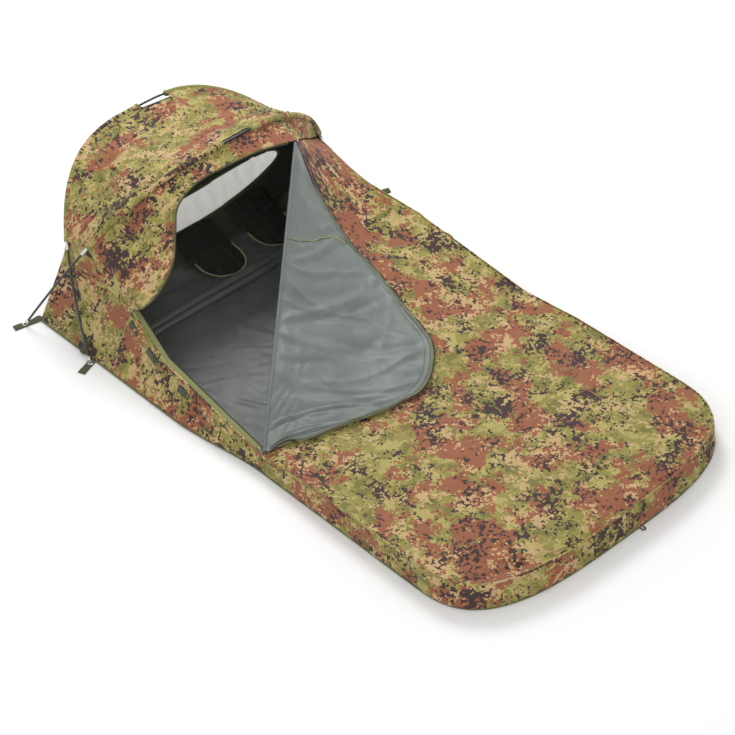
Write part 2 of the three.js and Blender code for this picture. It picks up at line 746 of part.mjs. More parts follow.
// A peg loop of narrow webbing at the foot: a flat ring with a hole for the peg.
function footLoop() {
  const { y, size, hole, z, thickness } = FOOT_LOOP;
  const middle = FOOT_X + 4 + size / 2;
  const corners = [[-0.5, -0.5], [0.5, -0.5], [0.5, 0.5], [-0.5, 0.5]];
  const box = (width, depth) => corners.map(([a, b]) => [middle + a * width, y + b * depth]);
  return flatShape(box(size, size), box(...hole).map(plan), z, thickness);
}

function wallPatch(x) {
  const upper = topEdge(x, -1);
  const lower = V(x, -groundHalfWidth(x), LIFT);
  const down = lower.clone().sub(upper).normalize();
  const forward = topEdge(x + 20, -1).sub(upper).normalize();
  const out = forward.clone().cross(down).normalize();
  if (out.y > 0) out.negate();
  const geometry = new THREE.BoxGeometry(...PATCH.size);
  geometry.applyMatrix4(new THREE.Matrix4().makeBasis(forward, out.clone().cross(forward), out));
  const centre = upper.addScaledVector(down, PATCH.drop).addScaledVector(out, PATCH.lift);
  return geometry.translate(centre.x, centre.y, centre.z);
}

// ---- assembly -----------------------------------------------------------------------------
const bivySack = new THREE.Group();

function add(name, geometry, finish) {
  const mesh = new THREE.Mesh(welded(geometry), finish);
  mesh.name = name;
  bivySack.add(mesh);
}

for (const part of [...poleParts(frontHoop), ...poleParts(rearHoop)]) add(...part);
for (const part of sleeveParts(frontHoop, FRONT_SLEEVE_END, FRONT_SLEEVE_FAR_END)) add(...part);
for (const part of sleeveParts(rearHoop, REAR_SLEEVE_END, REAR_SLEEVE_END)) add(...part);

add('roof_panel', roofPanel(), FINISH.camo());
add('rear_wall', rearWall(), FINISH.camo());
add('vent_mesh', ventMesh(), FINISH.mesh());
add('hood_front_panel', hoodFront(), FINISH.camo());
add('sack_top', sackTop(), FINISH.camo());
add('foot_wall', footWall(), FINISH.camo());
add('groundsheet', groundsheet(), FINISH.floor());
add('floor_seam_roll', floorSeam(), FINISH.floor());

for (const [word, side] of [['near', -1], ['far', 1]]) {
  add(`hood_side_${word}`, hoodSide(side), FINISH.camo());
  add(`sack_wall_${word}`, sackWall(side), FINISH.camo());
  add(`pocket_${word}`, pocket(POCKET_Y[word]), FINISH.darkMesh());
  add(`front_anchor_strap_${word}`, anchorStrap(frontHoop, side, ...FRONT_STRAP), FINISH.webbing());
  add(`rear_anchor_strap_${word}`, anchorStrap(rearHoop, side, ...REAR_STRAP), FINISH.webbing());
  add(`front_eyelet_${word}`, eyeletRing(frontHoop, side), FINISH.steel());
  add(`rear_eyelet_${word}`, eyeletRing(rearHoop, side), FINISH.steel());
}

add('door_panel', doorPanel(), FINISH.lining());
add('door_zip_tape', doorTape(), FINISH.tape());
add('wall_zip_tape', wallTape(), FINISH.tape());
add('hood_zip_tape', hoodTape(), FINISH.tape());
add('zip_slider', zipPart(ZIP_SLIDER), FINISH.steel());
add('zip_pull', zipPart(ZIP_PULL), FINISH.steel());
PATCH.x.forEach((x, i) => add(`wall_hook_patch_${i + 1}`, wallPatch(x), FINISH.webbing()));
add('foot_peg_loop', footLoop(), FINISH.webbing());

export default bivySack;
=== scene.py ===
"""A hooped bivy sack: camouflage shell over two crossed hoops, with its side door folded open.

Metres, +Z up, +X towards the foot, origin on the ground under the middle of the sack.
"""
import math

import bmesh
import bpy
import numpy as np
from mathutils import Matrix, Vector
from mathutils.bvhtree import BVHTree


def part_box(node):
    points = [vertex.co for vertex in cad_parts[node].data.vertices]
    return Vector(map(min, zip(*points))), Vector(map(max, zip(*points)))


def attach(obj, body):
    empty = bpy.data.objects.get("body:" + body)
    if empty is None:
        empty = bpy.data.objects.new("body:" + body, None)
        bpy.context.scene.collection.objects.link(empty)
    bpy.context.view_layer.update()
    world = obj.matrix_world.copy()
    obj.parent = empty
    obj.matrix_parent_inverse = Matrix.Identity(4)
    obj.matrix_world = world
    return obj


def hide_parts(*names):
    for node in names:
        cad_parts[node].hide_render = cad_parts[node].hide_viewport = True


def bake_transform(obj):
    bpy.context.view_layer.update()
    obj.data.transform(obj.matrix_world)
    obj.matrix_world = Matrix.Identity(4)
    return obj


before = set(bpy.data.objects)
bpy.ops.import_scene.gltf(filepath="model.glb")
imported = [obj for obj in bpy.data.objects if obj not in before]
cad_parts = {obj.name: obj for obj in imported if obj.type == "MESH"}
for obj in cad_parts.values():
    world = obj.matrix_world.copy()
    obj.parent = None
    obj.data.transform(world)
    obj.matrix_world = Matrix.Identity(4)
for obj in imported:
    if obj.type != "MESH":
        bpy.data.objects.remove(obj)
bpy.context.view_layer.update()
scene = bpy.context.scene
MM = 0.001


# ---- small helpers ------------------------------------------------------------------------
def lerp(a, b, t):
    return a + (b - a) * t


def smooth(x, low, high):
    t = np.clip((x - low) / (high - low), 0, 1)
    return t * t * (3 - 2 * t)


def unit(v):
    return v / np.maximum(np.linalg.norm(v, axis=-1, keepdims=True), 1e-12)


def points(*rows):
    return np.array(rows, float) * MM


def spline(control, count):
    """Even samples along a Catmull-Rom curve with centripetal spacing through the control points."""
    c = np.asarray(control, float)
    c = np.vstack([2 * c[0] - c[1], c, 2 * c[-1] - c[-2]])
    out = []
    for a, b, d, e in zip(c, c[1:], c[2:], c[3:]):
        k = np.cumsum([0] + [max(np.linalg.norm(q - p), 1e-9) ** 0.5 for p, q in ((a, b), (b, d), (d, e))])
        t = np.linspace(k[1], k[2], 40, endpoint=False)[:, None]
        ab = a * (k[1] - t) / (k[1] - k[0]) + b * (t - k[0]) / (k[1] - k[0])
        bd = b * (k[2] - t) / (k[2] - k[1]) + d * (t - k[1]) / (k[2] - k[1])
        de = d * (k[3] - t) / (k[3] - k[2]) + e * (t - k[2]) / (k[3] - k[2])
        low = ab * (k[2] - t) / (k[2] - k[0]) + bd * (t - k[0]) / (k[2] - k[0])
        high = bd * (k[3] - t) / (k[3] - k[1]) + de * (t - k[1]) / (k[3] - k[1])
        out.append(low * (k[2] - t) / (k[2] - k[1]) + high * (t - k[1]) / (k[2] - k[1]))
    return even(np.vstack(out + [c[-2:-1]]), count)


def even(path, count):
    """The path's points, spaced evenly along it."""
    d = np.concatenate([[0], np.cumsum(np.linalg.norm(np.diff(path, axis=0), axis=1))])
    at = np.linspace(0, d[-1], count)
    return np.stack([np.interp(at, d, path[:, k]) for k in range(path.shape[1])], 1)


def finer(rows, m, n):
    """A grid of points resampled smoothly to m rows of n points."""
    def along(g, count):
        k = len(g)
        x = np.linspace(0, k - 1, count)
        i = np.clip(np.floor(x).astype(int), 0, k - 2)
        t = (x - i)[:, None, None]
        pad = np.concatenate([2 * g[:1] - g[1:2], g, 2 * g[-1:] - g[-2:-1]])
        a, b, c, d = (pad[i + j] for j in range(4))
        return 0.5 * (2 * b + (c - a) * t + (2 * a - 5 * b + 4 * c - d) * t**2
                      + (3 * b - a - 3 * c + d) * t**3)
    return along(along(rows, m).transpose(1, 0, 2), n).transpose(1, 0, 2)


def value_noise(p, seed):
    cell = np.floor(p).astype(np.int64)
    f = p - cell
    f = f * f * (3 - 2 * f)
    total = 0
    for dx in (0, 1):
        for dy in (0, 1):
            for dz in (0, 1):
                h = (cell[..., 0] + dx) * 374761393 + (cell[..., 1] + dy) * 668265263
                h = (h + (cell[..., 2] + dz) * 2147483647 + seed * 974634777) & 0xFFFFFFFF
                h = ((h ^ (h >> 13)) * 1274126177) & 0xFFFFFFFF
                h = (h ^ (h >> 16)) / 0xFFFFFFFF
                w = (f[..., 0] if dx else 1 - f[..., 0]) * (f[..., 1] if dy else 1 - f[..., 1])
                total = total + h * w * (f[..., 2] if dz else 1 - f[..., 2])
    return 2 * total - 1


def cloud(p, size, seed, octaves=3):
    """Soft noise from about -1 to 1 whose largest lumps are `size` metres across."""
    return sum(value_noise(p / size * 2**k, seed + 17 * k) / 2**k for k in range(octaves))


def grid_normals(rows):
    return unit(np.cross(np.gradient(rows, axis=0), np.gradient(rows, axis=1)))


def cloth_lengths(rows):
    """Distances, in metres, of each grid point along its column and along its row."""
    def run(axis):
        d = np.linalg.norm(np.diff(rows, axis=axis), axis=2)
        return np.cumsum(np.concatenate([np.zeros_like(np.take(d, [0], axis)), d], axis), axis)
    return run(0), run(1)


def laid_flat(rows):
    """Pattern coordinates without shear: along a smooth line down the grid's middle, and square to it."""
    m, n = rows.shape[:2]
    line = spline(rows[::m // 8, n // 2], 200)
    along = unit(np.gradient(line, axis=0))
    run = np.append(0, np.cumsum(np.linalg.norm(np.diff(line, axis=0), axis=1)))
    flat = rows.reshape(-1, 3)
    k = np.argmin((line**2).sum(1) - 2 * flat @ line.T, axis=1)
    off = flat - line[k]
    step = (off * along[k]).sum(1)
    off = off - step[:, None] * along[k]
    side = np.sign((np.cross(along[k], off) * grid_normals(rows).reshape(-1, 3)).sum(1))
    return (run[k] + step).reshape(m, n), (side * np.linalg.norm(off, axis=1)).reshape(m, n)


def border(rows, fade):
    """0 on a grid's border, rising to 1 so many metres inside it."""
    u, v = cloth_lengths(rows)
    inner = np.minimum(np.minimum(u, u[-1:] - u), np.minimum(v, v[:, -1:] - v))
    return smooth(inner, 0, fade)


def creases(rows, seed, count, height, width, length, angle=0.0, spread=1.6):
    """Height of random curved folds over a grid; angle is measured from the row direction."""
    rng = np.random.default_rng(seed)
    u, v = cloth_lengths(rows)
    p = np.stack([u, v, np.zeros_like(u)], -1)
    u = u + 0.5 * length * cloud(p, 0.35, seed, 1)
    v = v + 0.5 * length * cloud(p + 7, 0.35, seed, 1)
    total = np.zeros_like(u)
    for _ in range(count):
        a = angle + rng.uniform(-spread, spread) / 2
        cu, cv = rng.uniform(0, u.max()), rng.uniform(0, v.max())
        along = (u - cu) * math.sin(a) + (v - cv) * math.cos(a)
        across = (u - cu) * math.cos(a) - (v - cv) * math.sin(a)
        w = width * rng.uniform(0.6, 1.5)
        run = length * rng.uniform(0.5, 1.4)
        fold = np.exp(-np.abs(across / w) ** 1.6) - 0.45 * np.exp(-((across / (2.6 * w)) ** 2))
        total += rng.uniform(0.4, 1) * rng.choice([-0.6, 1]) * fold * np.exp(-((along / run) ** 2))
    return height * total


def eased(rows, times):
    """The grid with its small kinks smoothed out and its border kept."""
    for _ in range(times):
        rows = rows.copy()
        rows[1:-1, 1:-1] = (rows[:-2, 1:-1] + rows[2:, 1:-1] + rows[1:-1, :-2] + rows[1:-1, 2:]) / 4
    return rows


def within(rows, outline):
    """1 at the points of a grid that lie inside an outline seen from above, 0 elsewhere."""
    x, y = rows[..., 0], rows[..., 1]
    inside = np.zeros(x.shape, bool)
    for a, b in zip(outline, np.roll(outline, -1, 0)):
        inside ^= ((a[1] > y) != (b[1] > y)) & (x < a[0] + (y - a[1]) * (b[0] - a[0]) / (b[1] - a[1]))
    return inside.astype(float)


def facing_out(rows, inside):
    """The grid, its columns turned round if need be, so that its normals point away from inside."""
    away = (grid_normals(rows) * (rows - np.asarray(inside))).sum()
    return rows if away > 0 else rows[:, ::-1]


def move(rows, amount):
    return rows + grid_normals(rows) * amount[..., None]


# ---- meshes -------------------------------------------------------------------------------
def new_object(name, verts, faces, materials, slots=None, uvs=None, flat=False):
    mesh = bpy.data.meshes.new(name)
    mesh.from_pydata(np.asarray(verts).tolist(), [], faces)
    for m in materials:
        mesh.materials.append(m)
    if slots is not None:
        mesh.polygons.foreach_set("material_index", np.asarray(slots, np.int32))
    if uvs is not None:
        layer = mesh.uv_layers.new(name="cloth")
        index = np.empty(len(mesh.loops), np.int32)
        mesh.loops.foreach_get("vertex_index", index)
        layer.data.foreach_set("uv", np.asarray(uvs, np.float32)[index].ravel())
    if not flat:
        mesh.polygons.foreach_set("use_smooth", np.ones(len(mesh.polygons), bool))
    mesh.validate()
    mesh.update()
    obj = bpy.data.objects.new(name, mesh)
    scene.collection.objects.link(obj)
    return obj


def shell(name, rows, thickness, outer, inner, offset=(0.0, 0.0), wrap=False, plan=None, layout=None):
    """A closed sheet of cloth from a grid of points, with its own finish on each face.

    outer faces along the grid's normal. wrap joins the last column to the first. The pattern is
    laid out by layout, or by the coordinates on the two axes in plan, or follows the cloth.
    """
    m, n = rows.shape[:2]
    normal = grid_normals(rows)
    if wrap:
        ring = np.concatenate([rows[:, -2:-1], rows, rows[:, 1:2]], 1)
        normal = grid_normals(ring)[:, 1:-1]
    top = rows + normal * thickness / 2
    under = rows - normal * thickness / 2
    u, v = cloth_lengths(rows) if layout is None else layout
    if plan is not None:
        u, v = rows[..., plan[0]], rows[..., plan[1]]
    uv = np.stack([u + offset[0], v + offset[1]], -1).reshape(-1, 2)
    k = m * n
    a = (np.arange(m - 1)[:, None] * n + np.arange(n - 1)).ravel()
    faces = np.stack([a, a + n, a + n + 1, a + 1], 1)
    back = faces[:, ::-1] + k
    last = (m - 1) * n
    ring = [list(range(n)), [i * n + n - 1 for i in range(m)], [last + j for j in range(n - 1, -1, -1)],
            [i * n for i in range(m - 1, -1, -1)]]
    sides = [ring[0], ring[2]] if wrap else ring
    rim = [[p, q, q + k, p + k] for side in sides for p, q in zip(side, side[1:])]
    verts = np.concatenate([top.reshape(-1, 3), under.reshape(-1, 3)])
    slots = [0] * len(faces) + [1] * len(back) + [0] * len(rim)
    obj = new_object(name, verts, faces.tolist() + back.tolist() + rim, [outer, inner], slots,
                     np.concatenate([uv, uv]))
    if wrap:
        weld(obj)
    return obj


def edit_mesh(obj, change):
    bm = bmesh.new()
    bm.from_mesh(obj.data)
    change(bm)
    bm.to_mesh(obj.data)
    bm.free()
    return obj


def weld(obj):
    """Joins a piece's points that share a place."""
    return edit_mesh(obj, lambda bm: bmesh.ops.remove_doubles(bm, verts=bm.verts, dist=1e-6))


def disc(radius, sides=16, squeeze=1.0):
    a = np.linspace(0, 2 * math.pi, sides, endpoint=False)
    return np.stack([radius * np.cos(a), radius * squeeze * np.sin(a)], 1)


def strip(width, thickness, steps=6, crown=0.0):
    """The section of a flat tape, from edge to edge and back, a little thinner at its edges."""
    x = np.linspace(-width / 2, width / 2, steps)
    edge = thickness / 2 * (1 - 0.7 * np.abs(2 * x / width) ** 6)
    rise = crown * (1 - (2 * x / width) ** 2)
    return np.concatenate([np.stack([x, rise - edge], 1), np.stack([x[::-1], (rise + edge)[::-1]], 1)])


def sweep_mesh(path, up, section, scale=None):
    """Vertices, faces and cloth coordinates of a section carried along a path."""
    n, k = len(path), len(section)
    tangent = unit(np.gradient(path, axis=0))
    up = np.broadcast_to(np.asarray(up, float), path.shape)
    side = unit(np.cross(tangent, up))
    rise = np.cross(side, tangent)
    scale = np.ones(n) if scale is None else scale
    verts = (path[:, None] + scale[:, None, None] * (
        section[None, :, :1] * side[:, None] + section[None, :, 1:] * rise[:, None])).reshape(-1, 3)
    faces = []
    for i in range(n - 1):
        for j in range(k):
            q = (j + 1) % k
            faces.append((i * k + j, (i + 1) * k + j, (i + 1) * k + q, i * k + q))
    faces += [tuple(range(k)), tuple(range((n - 1) * k + k - 1, (n - 1) * k - 1, -1))]
    run = np.concatenate([[0], np.cumsum(np.linalg.norm(np.diff(path, axis=0), axis=1))])
    uv = np.stack([np.repeat(run, k), np.tile(section[:, 0], n)], 1)
    return verts, faces, uv


def sweep(name, path, up, section, material, scale=None, flat=False):
    verts, faces, uv = sweep_mesh(path, up, section, scale)
    return new_object(name, verts, faces, [material], None, uv, flat)


def merged(name, parts, material, flat=False):
    """One object from several (vertices, faces, cloth coordinates) parts."""
    verts, faces, uvs, base = [], [], [], 0
    for v, f, uv in parts:
        verts.append(v)
        uvs.append(uv)
        faces += [tuple(i + base for i in face) for face in f]
        base += len(v)
    return new_object(name, np.concatenate(verts), faces, [material], None, np.concatenate(uvs), flat)


def box_part(centre, axes, size):
    """A bevelled block: axes are three unit vectors, size its three full lengths."""
    k = np.array([(x, y, z) for z in (-1, 1) for y in (-1, 1) for x in (-1, 1)], float)
    x, y, z = (np.asarray(a, float) for a in axes)
    bevel = 0.25 * min(size)
    corners = []
    for dx, dy, dz in k:
        corners += [(dx * size[0] / 2, dy * (size[1] / 2 - bevel), dz * (size[2] / 2 - bevel)),
                    (dx * (size[0] / 2 - bevel), dy * size[1] / 2, dz * (size[2] / 2 - bevel)),
                    (dx * (size[0] / 2 - bevel), dy * (size[1] / 2 - bevel), dz * size[2] / 2)]
    c = np.array(corners)
    verts = centre + c[:, :1] * x + c[:, 1:2] * y + c[:, 2:] * z
    f = []
    for axis, (a, b, d, e) in ((0, (0, 2, 6, 4)), (0, (1, 5, 7, 3)), (1, (0, 4, 5, 1)), (1, (2, 3, 7, 6)),
                               (2, (0, 1, 3, 2)), (2, (4, 6, 7, 5))):
        f.append(tuple(3 * i + axis for i in (a, b, d, e)))
    for a, b, p, q in ((0, 1, 1, 2), (2, 3, 1, 2), (4, 5, 1, 2), (6, 7, 1, 2), (0, 2, 0, 2), (1, 3, 0, 2),
                       (4, 6, 0, 2),
                       (5, 7, 0, 2), (0, 4, 0, 1), (1, 5, 0, 1), (2, 6, 0, 1), (3, 7, 0, 1)):
        f.append((3 * a + p, 3 * b + p, 3 * b + q, 3 * a + q))
    for i in range(8):
        f.append((3 * i, 3 * i + 1, 3 * i + 2))
    return verts, f, np.zeros((len(verts), 2))


def outward(obj):
    """Turns a closed piece's faces to point out."""
    return edit_mesh(obj, lambda bm: bmesh.ops.recalc_face_normals(bm, faces=bm.faces))


# ---- materials ----------------------------------------------------------------------------
class Look:
    """A node material, built with one short call per node."""

    def __init__(self, name, **shader):
        self.material = bpy.data.materials.new(name)
        self.material.use_nodes = True
        self.tree = self.material.node_tree
        self.shader = self.tree.nodes["Principled BSDF"]
        for key, value in shader.items():
            self.shader.inputs[key.replace("_", " ")].default_value = value

    def node(self, kind, inputs=(), **settings):
        n = self.tree.nodes.new("ShaderNode" + kind)
        for key, value in settings.items():
            setattr(n, key, value)
        for key, value in dict(inputs).items():
            if isinstance(value, bpy.types.NodeSocket):
                self.tree.links.new(value, n.inputs[key])
            else:
                n.inputs[key].default_value = value
        return n

    def cloth(self):
        return self.node("UVMap", uv_map="cloth").outputs[0]

    def place(self):
        return self.node("TexCoord").outputs["Object"]

    def noise(self, vector, scale, detail=2.0, rough=0.5):
        return self.node("TexNoise",
                         {"Vector": vector, "Scale": scale, "Detail": detail, "Roughness": rough}).outputs[0]

    def math(self, kind, a, b):
        return self.node("Math", {0: a, 1: b}, operation=kind).outputs[0]

    def shifted(self, vector, x, y):
        return self.node("VectorMath", {0: vector, 1: (x, y, 0.37 * x)}, operation="ADD").outputs[0]

    def mix(self, share, a, b, blend="MIX"):
        return self.node("Mix", {0: share, 6: a, 7: b}, data_type="RGBA", blend_type=blend).outputs[2]

    def ramp(self, value, stops, sharp=False):
        n = self.node("ValToRGB", {0: value})
        n.color_ramp.interpolation = "CONSTANT" if sharp else "LINEAR"
        e = n.color_ramp.elements
        while len(e) < len(stops):
            e.new(0.5)
        for element, (at, colour) in zip(e, stops):
            element.position = at
            element.color = (*colour, 1) if hasattr(colour, "__len__") else (colour, colour, colour, 1)
        return n.outputs[0]

    def colour(self, socket):
        self.tree.links.new(socket, self.shader.inputs["Base Color"])

    def rough(self, socket):
        self.tree.links.new(socket, self.shader.inputs["Roughness"])

    def bump(self, height, strength, distance):
        b = self.node("Bump", {"Strength": strength, "Distance": distance, "Height": height})
        self.tree.links.new(b.outputs[0], self.shader.inputs["Normal"])

    def weave(self, vector, pitch):
        """Height of a plain weave with that thread pitch, in metres."""
        waves = []
        for axis in ("X", "Y"):
            n = self.node("TexWave",
                          {"Vector": vector, "Scale": 0.314 / pitch, "Distortion": 0.6, "Detail": 1.0},
                          bands_direction=axis)
            waves.append(n.outputs[1])
        return self.math("MULTIPLY", *waves)


OLIVE = (0.275, 0.238, 0.058)
KHAKI = (0.400, 0.340, 0.108)
RUST = (0.290, 0.100, 0.046)
SAND = (0.520, 0.350, 0.165)
UMBER = (0.050, 0.026, 0.024)
MOSS = (0.175, 0.165, 0.038)


def camo_look():
    look = Look("camo_cloth", Roughness=0.85, Sheen_Weight=0.04)
    cloth = look.cloth()
    cell = look.node("VectorMath", {0: cloth, 1: (0.0058, 0.0058, 0.0058)}, operation="SNAP").outputs[0]
    fleck = look.noise(cell, 54, 2.5, 0.7)
    speck = look.noise(look.shifted(cell, 3.1, 7.7), 70, 2.0, 0.7)

    def patches(x, y, scale, share, other=speck):
        """Broad patches with ragged edges: an average of broad noise and so much of a fine one."""
        broad = look.noise(look.shifted(cell, x, y), scale, 3.0, 0.6)
        both = look.math("ADD", broad, look.math("MULTIPLY", other, share))
        return look.math("DIVIDE", both, 1 + share)

    ground = look.ramp(patches(1.7, 4.1, 16.0, 0.35, fleck), [(0, MOSS), (0.445, OLIVE), (0.535, KHAKI)],
                       True)
    rust = look.ramp(patches(9.3, 2.2, 6.5, 0.30), [(0, 0), (0.503, 1)], True)
    sand = look.ramp(patches(5.5, 8.4, 12.0, 0.8), [(0, 0), (0.556, 1)], True)
    umber = look.ramp(patches(2.9, 11.3, 9.0, 1.25, fleck), [(0, 0), (0.541, 1)], True)
    base = look.mix(rust, ground, (*RUST, 1))
    base = look.mix(sand, base, (*SAND, 1))
    base = look.mix(umber, base, (*UMBER, 1))
    fade = look.ramp(look.noise(cloth, 14, 4, 0.6), [(0.3, 0.86), (0.7, 1.0)])
    look.colour(look.mix(1.0, base, fade, "MULTIPLY"))
    look.bump(look.weave(cloth, 0.0012), 0.25, 0.0004)
    return look.material


def coated_look(name, dark, pale, roughness, pitch=0.0009):
    """Coated taffeta: a soft sheen, faint mottling and a very fine weave."""
    look = Look(name, Roughness=roughness, Sheen_Weight=0.1)
    cloth = look.cloth()
    look.colour(look.ramp(look.noise(cloth, 9, 5, 0.62), [(0.3, dark), (0.7, pale)]))
    look.rough(look.ramp(look.noise(cloth, 30, 3, 0.6), [(0.3, roughness - 0.08), (0.75, roughness + 0.1)]))
    height = look.math("ADD", look.weave(cloth, pitch),
                       look.math("MULTIPLY", look.noise(cloth, 160, 3, 0.7), 1.5))
    look.bump(height, 0.3, 0.0005)
    return look.material


def webbing_look(name, dark, pale, pitch=0.0016):
    """Narrow woven tape with ribs across it, its colour darker in the grooves between the ribs as painted
    shade.
    """
    look = Look(name, Roughness=0.85, Sheen_Weight=0.2)
    cloth = look.cloth()
    ribs = look.node("TexWave", {"Vector": cloth, "Scale": 0.314 / pitch, "Distortion": 0.3},
                     bands_direction="X")
    fuzz = look.noise(cloth, 900, 2, 0.6)
    # Painted shade: the colour follows the ribs' height and is darker in the grooves between them; the fine
    # fuzz noise is the tape's own uneven tone.
    look.colour(look.ramp(look.math("MULTIPLY", ribs.outputs[1], fuzz), [(0.05, dark), (0.5, pale)]))
    look.bump(ribs.outputs[1], 0.7, 0.0006)
    return look.material


def metal_look(name, colour, roughness):
    look = Look(name, Base_Color=(*colour, 1), Metallic=1.0, Roughness=roughness)
    where = look.place()
    look.rough(look.ramp(look.noise(where, 260, 3, 0.6), [(0.3, roughness * 0.7), (0.7, roughness * 1.5)]))
    look.bump(look.noise(where, 1400, 2, 0.5), 0.08, 0.0002)
    return look.material


def rod_look():
    look = Look("pole_rod", Roughness=0.38, Coat_Weight=0.3)
    where = look.place()
    look.colour(look.ramp(look.noise(where, 70, 5, 0.7),
                          [(0.35, (0.018, 0.020, 0.019)), (0.7, (0.045, 0.048, 0.046))]))
    look.rough(look.ramp(look.noise(where, 320, 2, 0.6), [(0.3, 0.3), (0.7, 0.48)]))
    look.bump(look.noise(where, 900, 2, 0.5), 0.1, 0.0002)
    return look.material


def mesh_look(name, colour, cover, pitch):
    """Knitted mesh that lets part of what is behind it show through."""
    look = Look(name, Base_Color=(*colour, 1), Roughness=0.8)
    cloth = look.cloth()
    threads = []
    for axis in ("X", "Y"):
        n = look.node("TexWave", {"Vector": cloth, "Scale": 0.314 / pitch, "Distortion": 0.4},
                      bands_direction=axis)
        threads.append(n.outputs[1])
    grid = look.math("MAXIMUM", *threads)
    alpha = look.ramp(grid, [(0.55, cover[0]), (0.85, cover[1])])
    look.tree.links.new(alpha, look.shader.inputs["Alpha"])
    return look.material


camo = camo_look()
lining = coated_look("grey_lining", (0.112, 0.135, 0.122), (0.155, 0.178, 0.162), 0.42)
hood_lining = coated_look("dark_lining", (0.042, 0.046, 0.034), (0.064, 0.068, 0.050), 0.55)
floor_cloth = coated_look("floor_cloth", (0.085, 0.093, 0.084), (0.135, 0.144, 0.130), 0.36)
under_cloth = coated_look("groundsheet_cloth", (0.020, 0.026, 0.018), (0.035, 0.042, 0.030), 0.55)
binding = webbing_look("olive_binding", (0.060, 0.068, 0.016), (0.185, 0.195, 0.060), 0.0012)
webbing = webbing_look("anchor_webbing", (0.030, 0.034, 0.010), (0.085, 0.092, 0.030))
tape_cloth = webbing_look("zip_tape", (0.120, 0.132, 0.078), (0.210, 0.222, 0.140), 0.0010)
facing = webbing_look("edge_facing", (0.170, 0.180, 0.058), (0.300, 0.310, 0.110), 0.0010)
sleeve_cloth = webbing_look("sleeve_cloth", (0.190, 0.205, 0.045), (0.300, 0.310, 0.078), 0.0011)
pile = webbing_look("hook_pile", (0.020, 0.024, 0.010), (0.060, 0.066, 0.028), 0.0022)
trim = webbing_look("pocket_trim", (0.25, 0.27, 0.11), (0.52, 0.54, 0.28), 0.0012)
thread = webbing_look("thread", (0.040, 0.046, 0.016), (0.110, 0.120, 0.050), 0.0008)
coil = metal_look("zip_coil", (0.05, 0.052, 0.045), 0.5)
steel = metal_look("bright_steel", (0.72, 0.73, 0.73), 0.26)
dark_steel = metal_look("zip_steel", (0.20, 0.20, 0.17), 0.4)
rod = rod_look()
window_cloth = mesh_look("window_mesh", (0.80, 0.82, 0.72), (0.15, 0.55), 0.0016)
pocket_cloth = mesh_look("pocket_mesh", (0.030, 0.034, 0.024), (0.45, 0.85), 0.0018)


# ---- the sack's outline -------------------------------------------------------------------
class Hoop:
    """A pole bent into a hoop whose plane leans from the vertical; s runs from -1 to 1."""

    def __init__(self, base_x, span, rise, lean, power):
        self.base_x, self.span, self.rise, self.power = base_x, span, rise, power
        self.lean = math.radians(lean)

    def at(self, s):
        s = np.asarray(s, float)
        h = self.rise * (1 - np.abs(s) ** self.power)
        return np.stack([self.base_x + h * math.sin(self.lean), self.span * s, h * math.cos(self.lean)], -1)

    def inward(self, s):
        """Unit vectors in the hoop's plane, square to it, pointing inside."""
        s = np.asarray(s, float)
        slope = -self.rise * self.power * np.abs(s) ** (self.power - 1) * np.sign(s)
        size = np.hypot(slope, self.span)
        drop = self.span / size
        return np.stack([-drop * math.sin(self.lean), slope / size, -drop * math.cos(self.lean)], -1)

    def inside(self, s, distance):
        return self.at(s) + self.inward(s) * distance

    def path(self, low, high, count):
        return even(self.at(np.linspace(low, high, 400)), count)

    def run(self):
        """The whole hoop as many close points and the distance to each."""
        p = self.at(np.linspace(-1, 1, 4001))
        return p, np.concatenate([[0], np.cumsum(np.linalg.norm(np.diff(p, axis=0), axis=1))])

    def stretch(self, start, end, count):
        p, d = self.run()
        at = np.linspace(start, end, count)
        return np.stack([np.interp(at, d, p[:, k]) for k in range(3)], 1)


front = Hoop(-1.120, 0.695, 0.659, 29.8, 2.93)
rear = Hoop(-0.779, 0.661, 0.704, -45.5, 3.0)
FRONT_END, FRONT_FAR_END, REAR_END = 0.73, 0.86, 0.749
GAP = (0.02, 0.2)
HOOD_HALF, SACK_HALF = 0.640, 0.600
FOOT_X, FOOT_DEPTH, FOOT_POWER = 1.126, 0.337, 3.15
FOOT_START = FOOT_X - FOOT_DEPTH
TOP_INSET, WALL_HEIGHT = 0.008, 0.100
HEAD_CORNER_X, HEAD_MIDDLE_X = -1.096, -0.970
DOOR_HEAD, DOOR_FOOT = points((-712, 270, 490))[0], points((80, -592, 68))[0]
DOOR_CORNER = points((-680, -524, 215))[0]
DOOR_ON_HOOP = 0.4
SACK_EDGE = points((80, 592, 68), (330, 592, 92), (789, 592, 100))
NEAR_EDGE = np.vstack([points((-923, 507, 345), (-800, 528, 238), (-680, 524, 215), (-450, 573, 150)),
                       SACK_EDGE])
FAR_EDGE = np.vstack([points((-923, 507, 345), (-890, 534, 250), (-680, 530, 192), (-450, 573, 146)),
                      SACK_EDGE])
BROW_TAIL = points((-712, 270, 490), (-800, 370, 402), (-872, 455, 322), (-924, 538, 262), (-973, 598, 187))
HOOD_EDGE = points((-680, -524, 215), (-612, -520, 262), (-582, -470, 318), (-600, -385, 388),
                   (-660, -320, 448),
                   (-712, -262, 495), (-730, -160, 530), (-724, -20, 536), (-718, 120, 526), (-712, 270, 490))
DOOR_EDGE = points((-712, 270, 0), (-576, 286, 0), (-312, 233, 0), (-52, 180, 0), (70, 152, 0), (135, 108, 0),
                   (205, 20, 0), (226, -80, 0), (212, -180, 0), (150, -390, 0), (80, -592, 0))
TOP_BULGE = ((0, 0.15, 0.32, 0.5, 0.8, 1), (-0.008, -0.060, -0.062, -0.022, 0.010, 0.016))
WINDOW = {"z": 0.142, "half_width": 0.470, "half_height": 0.046, "power": 2.6}


def ground_half(x):
    return lerp(HOOD_HALF, SACK_HALF, smooth(np.asarray(x, float), -0.340, 0.080))


